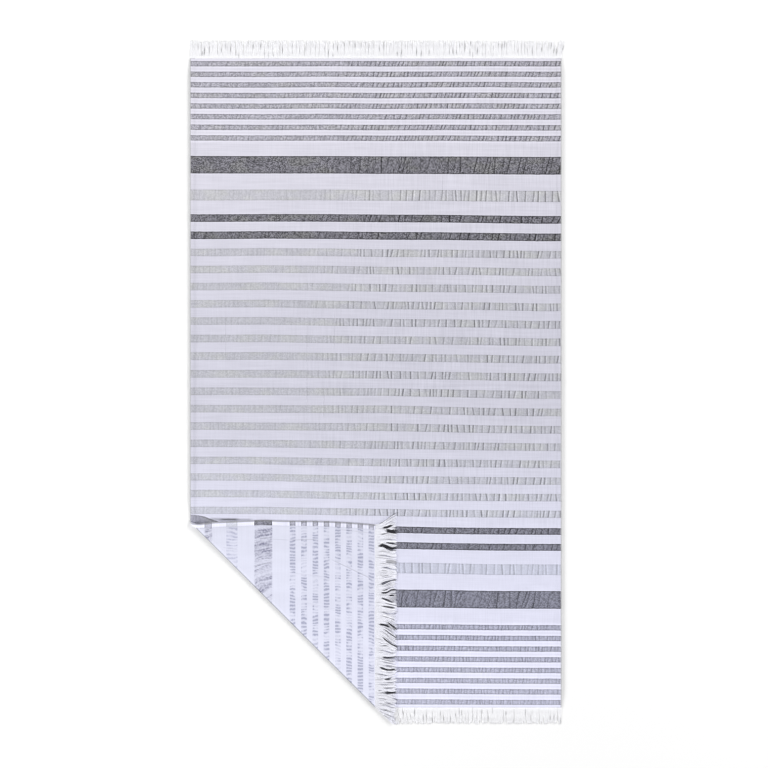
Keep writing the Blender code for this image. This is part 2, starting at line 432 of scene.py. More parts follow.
@dataclass
class Creases:
    """The little pinched creases that cross each stripe, where the shrunken weft gathers it.

    Every crease has a whole number. Between two of them the number runs on evenly, so the surface
    can tell how far the next crease is.
    """

    size: TowelSize
    chart: StripeChart
    seed: int = 41
    faint_until: float = -0.22  # X up to which the creases are faint
    full_from: float = 0.08
    crowding: float = 1.4  # over 1, close creases are more common than far ones
    shallowest: float = 0.15
    places: List[np.ndarray] = field(default_factory=list)
    slants: List[np.ndarray] = field(default_factory=list)
    depths: List[np.ndarray] = field(default_factory=list)

    def __post_init__(self) -> None:
        """Draw the places, slants and depths of every stripe's creases."""
        draw = random.Random(self.seed)
        for _, _, group in self.chart.stripes():
            style = group.style
            low, high = style.spacing
            place, row = -self.size.half - 2 * high, []
            while place < self.size.half + 2 * high:
                row.append(place)
                place += low + (high - low) * draw.random() ** self.crowding
            deeper = 1.0 - self.shallowest
            depths = [self.shallowest + deeper * draw.random() ** style.rarity for _ in row]
            self.places.append(np.array(row))
            self.slants.append(np.array([draw.gauss(style.slant, style.spread) for _ in row]))
            self.depths.append(np.array(depths))

    def strength(self, x: np.ndarray, faintest: float) -> np.ndarray:
        """How strongly the cloth is gathered across the towel, from 0 to 1."""
        share = eased((x - self.faint_until) / (self.full_from - self.faint_until))
        return faintest + (1.0 - faintest) * share

    def at(self, x: np.ndarray, down: np.ndarray) -> Tuple[np.ndarray, np.ndarray, np.ndarray]:
        """The creases at points of the flat cloth.

        Args:
            x: places across the cloth.
            down: distances from its top end.

        Returns:
            The running crease number, the depth of the crease nearby and the local spacing.
        """
        stripes = self.chart.stripes()
        middles = np.array([(start + end) / 2 for start, end, _ in stripes])
        nearest = np.abs(down[:, None] - middles[None, :]).argmin(axis=1)
        number, depth, spacing = (np.zeros(len(x)) for _ in range(3))
        for stripe, middle in enumerate(middles):
            here = nearest == stripe
            places = self.places[stripe]
            order = np.arange(len(places), dtype=float)
            lean = np.interp(x[here], places, self.slants[stripe])
            across = x[here] - lean * (down[here] - middle)
            number[here] = np.interp(across, places, order)
            level = np.interp(across, places, self.depths[stripe])
            depth[here] = level * self.strength(x[here], stripes[stripe][2].style.faintest)
            gaps = np.append(np.diff(places), places[-1] - places[-2])
            spacing[here] = gaps[np.clip(number[here].astype(int), 0, len(gaps) - 1)]
        return number, depth, spacing


# ---- shader maths ----------------------------------------------------------------------------


class Value:
    """A socket of a node tree that takes part in ordinary Python expressions."""

    def __init__(self, tree: "Tree", socket: bpy.types.NodeSocket) -> None:
        """Wrap a socket.

        Args:
            tree: the tree that the socket's node is in.
            socket: an output socket that carries a number or a vector.
        """
        self.tree = tree
        self.socket = socket

    def _math(self, operation: str, *values: Any, clamp: bool = False) -> "Value":
        """Add a Math node on this and other values."""
        settings = {"operation": operation, "use_clamp": clamp}
        return self.tree.node("ShaderNodeMath", settings, dict(enumerate(values)))

    def __add__(self, other: Any) -> "Value":
        """This plus other."""
        return self._math("ADD", self, other)

    def __radd__(self, other: Any) -> "Value":
        """Other plus this."""
        return self._math("ADD", other, self)

    def __sub__(self, other: Any) -> "Value":
        """This minus other."""
        return self._math("SUBTRACT", self, other)

    def __rsub__(self, other: Any) -> "Value":
        """Other minus this."""
        return self._math("SUBTRACT", other, self)

    def __mul__(self, other: Any) -> "Value":
        """This times other."""
        return self._math("MULTIPLY", self, other)

    def __rmul__(self, other: Any) -> "Value":
        """Other times this."""
        return self._math("MULTIPLY", other, self)

    def __abs__(self) -> "Value":
        """This without its sign."""
        return self._math("ABSOLUTE", self)

    def modulo(self, step: float) -> "Value":
        """The remainder after whole steps, never negative."""
        return self._math("FLOORED_MODULO", self, step)

    def fraction(self) -> "Value":
        """The part after the whole number."""
        return self._math("FRACT", self)

    def lower(self, other: Any) -> "Value":
        """The smaller of this and other."""
        return self._math("MINIMUM", self, other)

    def held(self) -> "Value":
        """This, held between 0 and 1."""
        return self._math("ADD", self, 0.0, clamp=True)

    def ramp(self, start: float, end: float, low: float = 0.0, high: float = 1.0) -> "Value":
        """A soft step between two levels.

        Args:
            start: the value at which the step begins.
            end: the value at which it ends.
            low: the level before the step.
            high: the level after it.

        Returns:
            The level.
        """
        inputs = {"Value": self, "From Min": start, "From Max": end, "To Min": low, "To Max": high}
        settings = {"interpolation_type": "SMOOTHSTEP"}
        return self.tree.node("ShaderNodeMapRange", settings, inputs)

    def fall(self, start: float, end: float) -> "Value":
        """A soft step from 1 down to 0."""
        return self.ramp(start, end, 1.0, 0.0)


class Tree:
    """A material's node tree, filled by one method."""

    def __init__(self, name: str) -> None:
        """Start a material.

        Args:
            name: the material's name.
        """
        self.material = bpy.data.materials.new(name)
        self.material.use_nodes = True
        self.nodes = self.material.node_tree.nodes
        self.links = self.material.node_tree.links
        self.shader = self.nodes["Principled BSDF"]

    def node(
        self,
        kind: str,
        settings: Optional[Dict[str, Any]] = None,
        inputs: Optional[Dict[Any, Any]] = None,
        output: Any = 0,
    ) -> Value:
        """Add a node.

        Args:
            kind: the node's type.
            settings: its properties, which are set first.
            inputs: numbers, colours or links for its sockets, by name or number.
            output: name or number of the output to hand back.

        Returns:
            That output.
        """
        made = self.nodes.new(kind)
        for key, setting in (settings or {}).items():
            setattr(made, key, setting)
        for key, value in (inputs or {}).items():
            self.feed(made.inputs[key], value)
        return Value(self, made.outputs[output])

    def feed(self, socket: bpy.types.NodeSocket, value: Any) -> None:
        """Link a value to a socket, or set a plain number or colour on it.

        Args:
            socket: an input socket.
            value: what it takes.
        """
        if isinstance(value, Value):
            self.links.new(value.socket, socket)
        elif isinstance(value, tuple) and socket.type == "RGBA":
            socket.default_value = (*value, 1.0)[:4]
        else:
            socket.default_value = value

    def parts(self, vector: Value) -> Tuple[Value, Value, Value]:
        """The three numbers of a vector."""
        split = self.node("ShaderNodeSeparateXYZ", {}, {0: vector}).socket.node
        return tuple(Value(self, output) for output in split.outputs)

    def mix(self, share: Any, first: Any, second: Any) -> Value:
        """Mix two colours.

        Args:
            share: how much of the second, from 0 to 1.
            first: a colour.
            second: a colour.

        Returns:
            The mixed colour.
        """
        return self.node("ShaderNodeMix", {"data_type": "RGBA"}, {0: share, 6: first, 7: second}, 2)

    def shade(self, colour: Any, level: Any) -> Value:
        """A colour made lighter or darker by a level around 1."""
        return self.node("ShaderNodeVectorMath", {"operation": "SCALE"}, {0: colour, "Scale": level})

    def tint(self, colour: Any, other: Any) -> Value:
        """A colour multiplied by another."""
        return self.node("ShaderNodeVectorMath", {"operation": "MULTIPLY"}, {0: colour, 1: other})

    def flat_place(self) -> Tuple[Value, Value]:
        """The point's place on the flat cloth: across from the left edge, and down from the top."""
        return self.parts(self.node("ShaderNodeUVMap", {"uv_map": MAP_NAME}))[:2]

    def place(self) -> Tuple[Value, Value, Value]:
        """The point's place in the laid towel."""
        return self.parts(self.node("ShaderNodeTexCoord", {}, {}, "Object"))

    def attribute(self, name: str) -> Tuple[Value, Value, Value]:
        """The three numbers of a piece's own attribute."""
        return self.parts(self.node("ShaderNodeAttribute", {"attribute_name": name}, {}, "Vector"))

    def noise(self, x: Value, y: Value, detail: float, z: float) -> Value:
        """Soft noise.

        Args:
            x: place across, in cells of the noise.
            y: place along, in cells.
            detail: how many finer layers it has.
            z: the layer of it, since each layer is another pattern.

        Returns:
            A level around 0.5.
        """
        point = self.node("ShaderNodeCombineXYZ", {}, {0: x, 1: y, 2: z})
        inputs = {"Vector": point, "Scale": 1.0, "Detail": detail}
        return self.node("ShaderNodeTexNoise", {"noise_dimensions": "3D"}, inputs)

    def grain(self, x: Value, y: Value, cell: float) -> Value:
        """A different random level in each cell of a grid, as of single stitches of a weave.

        Args:
            x: place across.
            y: place along.
            cell: size of a cell.

        Returns:
            The level, from 0 to 1.
        """
        inputs = {0: x * (1.0 / cell), 1: y * (1.0 / cell), 2: 0.0}
        point = self.node("ShaderNodeCombineXYZ", {}, inputs)
        whole = self.node("ShaderNodeVectorMath", {"operation": "FLOOR"}, {0: point})
        return self.node("ShaderNodeTexWhiteNoise", {"noise_dimensions": "3D"}, {"Vector": whole})

    def bump(self, height: Value) -> Value:
        """The normal of a surface that stands out by height, in metres."""
        return self.node("ShaderNodeBump", {}, {"Height": height, "Distance": 1.0, "Strength": 1.0})

    def finish(self, colour: Any, normal: Optional[Value], roughness: float, sheen: float = 0.0) -> None:
        """Set the shader's colour, relief and gloss.

        Args:
            colour: its colour.
            normal: its relief, if it has any.
            roughness: how matt it is.
            sheen: how much loose fibre catches the light.
        """
        self.feed(self.shader.inputs["Base Color"], colour)
        if normal is not None:
            self.feed(self.shader.inputs["Normal"], normal)
        self.shader.inputs["Roughness"].default_value = roughness
        self.shader.inputs["Specular IOR Level"].default_value = SPECULAR
        self.shader.inputs["Sheen Weight"].default_value = sheen
        self.shader.inputs["Sheen Roughness"].default_value = SHEEN_ROUGHNESS


# ---- finishes --------------------------------------------------------------------------------


@dataclass(frozen=True)
class Pattern:
    """A soft random pattern, by its cells to the metre each way, its layer and its detail."""

    cells: Tuple[float, float]
    layer: float = 0.0
    detail: float = 1.0

    def at(self, x: Value, y: Value) -> Value:
        """The pattern's level at a point, around 0.5."""
        return x.tree.noise(x * self.cells[0], y * self.cells[1], self.detail, self.layer)


@dataclass(frozen=True)
class Crinkle:
    """A fine pressed line that runs over the laid cloth, with a shaded side and a lit side."""

    start: Tuple[float, float]
    end: Tuple[float, float]
    half_width: float = 0.0022
    shade: float = 0.16
    height: float = 0.0006
    taper: float = 0.2  # share of its length over which each end fades
    shaded_side: float = 0.7  # how far from its middle the shade lies, in half widths
    lit_side: float = 0.9
    lit_share: float = 0.4  # how strong the lit side is beside the shade

    def lines(self, x: Value, y: Value) -> Tuple[Value, Value]:
        """The crinkle's mark on the surface.

        Args:
            x: place across the laid towel.
            y: place along it.

        Returns:
            How much to darken by, and how far the surface stands out.
        """
        run_x, run_y = self.end[0] - self.start[0], self.end[1] - self.start[1]
        length, half = math.hypot(run_x, run_y), self.half_width
        unit_x, unit_y = run_x / length, run_y / length
        along = x * unit_x + y * unit_y - (self.start[0] * unit_x + self.start[1] * unit_y)
        aside = y * unit_x - x * unit_y - (self.start[1] * unit_x - self.start[0] * unit_y)
        faded = length * self.taper
        ends = along.ramp(0.0, faded) * along.fall(length - faded, length)
        rise = abs(aside).fall(0.0, 2.0 * half) * ends
        dark = abs(aside - half * self.shaded_side).fall(0.0, half) * ends
        lit = abs(aside + half * self.lit_side).fall(0.0, half) * ends
        return dark * self.shade - lit * (self.shade * self.lit_share), rise * self.height


# The pressed lines of the open cloth, with the painted shadow beside the flap's hem, and those of the
# turned-over corner.
OPEN_CRINKLES = (
    Crinkle((0.183, 0.572), (0.180, 0.515), 0.0018, 0.16),
    Crinkle((-0.189, 0.209), (-0.189, -0.136), 0.0016, 0.04),
    Crinkle((-0.142, -0.010), (-0.144, -0.103), 0.0018, 0.09),
    Crinkle((-0.114, 0.203), (-0.114, 0.083), 0.0016, 0.05),
    Crinkle((-0.412, 0.203), (-0.412, 0.055), 0.0016, 0.04),
    Crinkle((0.014, -0.005), (0.504, -0.010), 0.0030, 0.03, 0.0004),
    Crinkle((-0.503, -0.005), (0.020, -0.005), 0.0030, 0.03, 0.0004),
    # These two are a low ridge with a painted shadow, which stands for the shadow of the flap's raised
    # hem on the open cloth.
    Crinkle((-0.466, -0.3784), (-0.368, -0.3796), 0.0062, 0.44, 0.0010),
    Crinkle((-0.434, -0.3780), (-0.330, -0.3776), 0.0042, 0.38, 0.0006),
)
FLAP_CRINKLES = (
    Crinkle((-0.128, -0.483), (-0.005, -0.542), shade=0.27),
    Crinkle((-0.240, -0.433), (-0.155, -0.431), shade=0.24),
    Crinkle((-0.106, -0.403), (-0.010, -0.414)),
    Crinkle((-0.423, -0.452), (-0.374, -0.459), 0.0020, 0.12),
    Crinkle((-0.338, -0.505), (-0.278, -0.492), 0.0024, 0.24),
    Crinkle((-0.289, -0.430), (-0.235, -0.433)),
    Crinkle((-0.322, -0.429), (-0.281, -0.426), 0.0020, 0.25),
    Crinkle((-0.251, -0.519), (-0.125, -0.535), shade=0.08),
    Crinkle((-0.207, -0.601), (-0.079, -0.628), shade=0.08),
)


@dataclass(frozen=True)
class LightDriftAndMottle:
    """Painted light: how the whole cloth's brightness and tint drift from one end of the towel to the
    other, as the light falls, with a random mottle of its own.
    """

    top: Colour = (1.000, 1.000, 1.000)
    middle: Colour = (0.900, 0.910, 0.930)
    low: Colour = (1.085, 1.113, 1.182)
    bottom: Colour = (1.160, 1.188, 1.262)
    upper_run: Run = (0.05, 0.75)  # Y over which the middle's tint turns into the top's
    middle_run: Run = (-0.05, -0.55)
    lower_run: Run = (-0.55, -0.80)
    mottle: float = 0.062
    mottling: Pattern = Pattern((11.0, 26.0), detail=3.0)
    drift: float = 0.045  # how much darker it gets towards the right, for each metre

    def tint(self, tree: Tree, x: Value, y: Value) -> Value:
        """What to multiply a yarn's colour by.

        Args:
            tree: the material that it is for.
            x: place across the laid towel.
            y: place along it.

        Returns:
            The tint.
        """
        upper = tree.mix(y.ramp(*self.upper_run), self.middle, self.top)
        lower = tree.mix(y.ramp(*self.lower_run), self.low, self.bottom)
        whole = tree.mix(y.ramp(*self.middle_run), upper, lower)
        cloud = self.mottling.at(x, y) - 0.5
        return tree.shade(whole, 1.0 + cloud * (2.0 * self.mottle) - x * self.drift)


@dataclass(frozen=True)
class StripeMasks:
    """Where each tone's yarn shows, from the stripe chart."""

    chart: StripeChart
    soft: float = 0.0006

    def group(self, down: Value, group: StripeGroup, grow: float, soft: float) -> Value:
        """The mask of one group of stripes.

        Args:
            down: distance from the top end.
            group: the stripes.
            grow: how far the mask reaches past each stripe's edges.
            soft: half the width over which it fades.

        Returns:
            1 on the stripes and 0 elsewhere.
        """
        begin = group.first - group.lead
        finish = begin + group.count * group.pitch
        inside = (down - begin).modulo(group.pitch) - group.lead
        rise = inside.ramp(-grow - soft, -grow + soft)
        fall = inside.fall(group.width + grow - soft, group.width + grow + soft)
        window = down.ramp(begin - soft, begin + soft) * down.fall(finish - soft, finish + soft)
        return rise * fall * window

    def tone(self, down: Value, tone: Tone, grow: float = 0.0, soft: Optional[float] = None) -> Value:
        """The mask of all the stripes of one tone.

        Args:
            down: distance from the top end.
            tone: the tone.
            grow: how far the mask reaches past each stripe's edges.
            soft: half the width over which it fades, where it isn't the usual one.

        Returns:
            1 on the stripes and 0 elsewhere.
        """
        groups = [group for group in self.chart.groups if group.tone is tone]
        total: Any = 0.0
        for group in groups:
            total = self.group(down, group, grow, soft or self.soft) + total
        return total


@dataclass(frozen=True)
class YarnTone:
    """The look of one stripe's yarn."""

    colour: Colour
    warm: Colour
    grain: float
    edge: float  # level of the line along each edge
    crease: float  # how dark the painted shade in a full crease is
    painted_highlight: float  # how much painted highlight the cloth has on its lit side
    end: float = 1.0  # its level at the towel's bottom end


@dataclass(frozen=True)
class Surface:
    """What a cotton finish reads at each point of the cloth."""

    tree: Tree
    across: Value  # place on the flat cloth, from its left edge
    down: Value  # place on the flat cloth, from its top end
    edge_down: Value  # the same with a ripple, for the edges of the stripes
    x: Value  # place in the laid towel
    y: Value
    stitch: Value  # level of single stitches, around 0, and so for the threads
    warp: Value
    weft: Value


@dataclass(frozen=True)
class CottonFinish:
    """The woven cotton of one side of the towel."""

    name: str
    chart: StripeChart
    light_and_mottle: LightDriftAndMottle = LightDriftAndMottle()
    level: float = 1.0
    pick: float = 0.0028  # size of the grain that the weave shows
    warp_threads: Pattern = Pattern((340.0, 14.0))
    weft_threads: Pattern = Pattern((9.0, 330.0), 3.7)
    rippling: Pattern = Pattern((90.0, 30.0))
    ripple: float = 0.0012  # how far the stripes' edges wander
    thread_height: float = 0.00016
    stitch_height: float = 0.00005
    roughness: float = 0.92
    sheen: float = 0.05
    crinkles: Tuple[Crinkle, ...] = ()

    def surface(self) -> Surface:
        """Start the material, with what the finish reads.

        Returns:
            The places and the weave's grain at each point.
        """
        tree = Tree(self.name)
        across, down = tree.flat_place()
        x, y, _ = tree.place()
        edge_down = down + (self.rippling.at(across, down) - 0.5) * self.ripple
        stitch = tree.grain(across, down, self.pick) - 0.5
        warp = self.warp_threads.at(across, down) - 0.5
        weft = self.weft_threads.at(across, down) - 0.5
        return Surface(tree, across, down, edge_down, x, y, stitch, warp, weft)

    def pressed(self, at: Surface) -> Tuple[Any, Any]:
        """All the crinkles together.

        Args:
            at: the surface.

        Returns:
            How much they darken, and how far they stand out.
        """
        dark: Any = 0.0
        rise: Any = 0.0
        for crinkle in self.crinkles:
            mark, height = crinkle.lines(at.x, at.y)
            dark, rise = mark + dark, height + rise
        return dark, rise

    def lit_and_mottled(self, at: Surface, colour: Value, level: Value) -> Value:
        """A colour with the painted light drift and the mottle, at a level."""
        return at.tree.shade(at.tree.tint(colour, self.light_and_mottle.tint(at.tree, at.x, at.y)), level)

    def relief(self, at: Surface) -> Value:
        """The height of the threads and stitches."""
        return (at.warp + at.weft) * self.thread_height + at.stitch * self.stitch_height


@dataclass(frozen=True)
class FrontFinish(CottonFinish):
    """The right side, where the coloured weft lies on top."""

    ground: Colour = (0.614, 0.602, 0.679)
    light: YarnTone = YarnTone(
        (0.483, 0.479, 0.522), (0.495, 0.494, 0.512), 0.22, edge=0.88, crease=0.69, painted_highlight=0.28
    )
    middle: YarnTone = YarnTone(
        (0.373, 0.365, 0.418), (0.381, 0.374, 0.408), 0.70, edge=0.62, crease=0.78, painted_highlight=0.18, end=0.95
    )
    dark: YarnTone = YarnTone(
        (0.161, 0.157, 0.181), (0.163, 0.161, 0.170), 1.36, edge=0.38, crease=1.05, painted_highlight=0.30, end=1.12
    )
    edge_width: float = 0.0026  # width of the darker line along a stripe's edges
    edge_soft: float = 0.0010
    ground_grain: Tuple[float, float, float] = (0.19, 0.10, 0.14)  # weft, warp and gathered warp
    yarn_grain: Tuple[float, float, float] = (0.18, 0.16, 0.24)
    warp_share: float = 0.3  # how much of a yarn's own grain its warp shows too
    warming: Pattern = Pattern((16.0, 34.0), 5.3, 2.0)
    warm_run: Run = (0.45, 0.65)
    warm_end: float = 0.25  # how much of the warm patches is left at the bottom end
    crease_half: float = 0.0031
    crease_spread: float = 1.6  # how much wider the hollow is than its dark line
    crease_height: float = 0.0009
    lit_from: Run = (0.0016, 0.0030)  # how far behind a crease its lit side begins, and ends
    lit_until: Run = (0.0042, 0.0080)
    rim: float = 0.0031  # width of the painted shade along the side edges, where the cloth bends down
    rim_sharp: float = 0.6
    rim_shade_colour: Colour = (0.44, 0.44, 0.45)
    rim_share: float = 0.85
    halo: float = 0.12  # painted highlight: how much paler the white is beside the dark stripes
    halo_reach: float = 0.0024
    gap_highlight: float = 0.13  # painted highlight: how much paler it is between the close stripes
    gap_reach: float = 0.0050
    gap_soft: float = 0.0026
    faded: float = 0.13  # how much of the close stripes' colour is lost at the bottom end
    faded_run: Run = (1.56, 1.76)
    gathered_run: Run = (-0.42, 0.20)  # X over which the cloth gets more gathered
    calm_run: Run = (-0.34, -0.46)  # Y over which it gets calm
    calm_end: float = 0.62  # how much of the creases and grain is left at the bottom end
    end_run: Run = (-0.34, -0.55)  # Y over which the yarns take their end levels and tint
    cool_end: Colour = (1.000, 1.012, 1.055)  # tint of the stripes at the bottom end
    right_level: float = 1.0  # level of the part to the right of right_run
    right_run: Run = (-0.290, -0.220)
    bunched: float = 0.70  # how much paler the dark stripe is where it is bunched at the fold
    bunched_from: float = 1.2740
    bunched_to: float = 1.2966
    bunched_ease: float = 0.002
    bunched_run: Run = (0.062, 0.100)
    bunched_rim: Run = (0.0, 0.022)  # where, at the towel's edge, the bunching is strongest
    bunched_most: float = 1.6
    bunched_calm: float = 0.75  # how much of the creases and grain is lost there
    bunched_edge: float = 0.60  # how much of the darker edge line is lost there

    def crease(self, tree: Tree) -> Tuple[Value, Value, Value]:
        """The pinched creases, which carry a painted shade and a painted highlight.

        Args:
            tree: the material that they are for.

        Returns:
            1 in the bottom of a full crease, 1 on the lit side of it, and the height of the cloth.
        """
        number, depth, spacing = tree.attribute(PUCKER_NAME)
        share = number.fraction()
        behind, ahead = share * spacing, (1.0 - share) * spacing
        away = behind.lower(ahead)
        line = away.fall(0.0, self.crease_half) * depth
        rise = away.ramp(0.0, self.crease_half * self.crease_spread) * depth
        lit = behind.ramp(*self.lit_from) * behind.fall(*self.lit_until) * depth
        return line, lit, rise

    def rim_shade(self, across: Value) -> Value:
        """How much painted shade shows along the side edges, where the cloth bends down.

        Args:
            across: place from the left edge.

        Returns:
            The share of the painted shade's colour.
        """
        inland = across.lower(TowelSize().width - across)
        return inland.fall(self.rim * self.rim_sharp, self.rim) * self.rim_share

    def bunching(self, at: Surface) -> Value:
        """Where a narrow dark stripe is bunched up beside the fold.

        Args:
            at: the surface.

        Returns:
            1 there, and more at the very edge of the towel.
        """
        start = at.down.ramp(self.bunched_from, self.bunched_from + self.bunched_ease)
        end = at.down.fall(self.bunched_to - self.bunched_ease, self.bunched_to)
        near_edge = at.across.ramp(*self.bunched_rim, self.bunched_most, 1.0)
        return at.across.fall(*self.bunched_run) * start * end * near_edge

    def white(self, at: Surface, masks: StripeMasks, gathered: Value, calm: Value) -> Value:
        """The colour of the white cloth, with a painted highlight beside its stripes.

        Args:
            at: the surface.
            masks: where the stripes are.
            gathered: how gathered the cloth is.
            calm: how much of its grain is left.

        Returns:
            The colour.
        """
        weft, warp, gather = self.ground_grain
        grain = at.weft * weft + at.warp * (warp + gathered * gather)
        colour = at.tree.shade(self.ground, self.level + grain * calm)
        beside = masks.tone(at.edge_down, Tone.DARK, self.halo_reach) * self.halo
        close = masks.tone(at.edge_down, Tone.MIDDLE, self.gap_reach, self.gap_soft) * self.gap_highlight
        return at.tree.shade(colour, 1.0 + (beside + close))

    def yarn_level(
        self,
        at: Surface,
        tone: Tone,
        yarn: YarnTone,
        inner: Value,
        crease: Value,
        gathered: Value,
        calm: Value,
    ) -> Value:
        """How light one tone's yarn is.

        Args:
            at: the surface.
            tone: the tone.
            yarn: its look.
            inner: the mask of its stripes without their edge lines.
            crease: how much a crease lightens or darkens it.
            gathered: how gathered the cloth is.
            calm: how much of its creases and grain is left.

        Returns:
            The level.
        """
        weft, warp, gather = self.yarn_grain
        fine = at.warp * (warp + yarn.grain * self.warp_share) + at.warp * gathered * gather
        fine = at.stitch * yarn.grain + fine + at.weft * weft
        paler = at.y.ramp(*self.end_run, 1.0, yarn.end)
        edge = inner.ramp(0.0, 1.0, 1.0 - yarn.edge, 0.0)
        if tone is Tone.DARK:
            bunch = self.bunching(at)
            calm = calm * (1.0 - bunch.lower(1.0) * self.bunched_calm)
            edge = edge * (1.0 - bunch.lower(1.0) * self.bunched_edge)
            paler = (1.0 + bunch * self.bunched) * paler
        return (self.level + fine * calm) * (1.0 - edge) * paler * (1.0 + crease * calm)

    def material(self) -> bpy.types.Material:
        """Build the material.

        Returns:
            The material.
        """
        at, masks = self.surface(), StripeMasks(self.chart)
        tree = at.tree
        line, lit, rise = self.crease(tree)
        gathered = at.x.ramp(*self.gathered_run)
        calm = at.y.ramp(*self.calm_run, 1.0, self.calm_end)
        warmth = self.warming.at(at.across, at.down).ramp(*self.warm_run)
        warmth = warmth * at.y.ramp(*self.calm_run, 1.0, self.warm_end)
        cool = tree.mix(at.y.ramp(*self.end_run), (1.0, 1.0, 1.0), self.cool_end)
        colour = self.white(at, masks, gathered, calm)
        reach: Any = 0.0
        for tone, yarn in ((Tone.LIGHT, self.light), (Tone.MIDDLE, self.middle), (Tone.DARK, self.dark)):
            mask = masks.tone(at.edge_down, tone)
            inner = masks.tone(at.edge_down, tone, -self.edge_width, self.edge_soft)
            if tone is Tone.MIDDLE:
                mask = mask * at.down.ramp(*self.faded_run, 1.0, 1.0 - self.faded)
            # A crease gets painted shade in its bottom and a painted highlight on its lit side.
            crease = lit * yarn.painted_highlight - line * yarn.crease
            level = self.yarn_level(at, tone, yarn, inner, crease, gathered, calm)
            woven = tree.shade(tree.mix(warmth, yarn.colour, yarn.warm), level)
            colour = tree.mix(mask, colour, tree.tint(woven, cool))
            reach = mask + reach
        dark, stand = self.pressed(at)
        level = (1.0 - dark) * at.x.ramp(*self.right_run, 1.0, self.right_level)
        colour = self.lit_and_mottled(at, colour, level)
        # The side edges take a line of painted shade.
        colour = tree.mix(self.rim_shade(at.across), colour, self.rim_shade_colour)
        height = rise * reach.held() * self.crease_height + self.relief(at) + stand
        tree.finish(colour, tree.bump(height), self.roughness, self.sheen)
        return tree.material


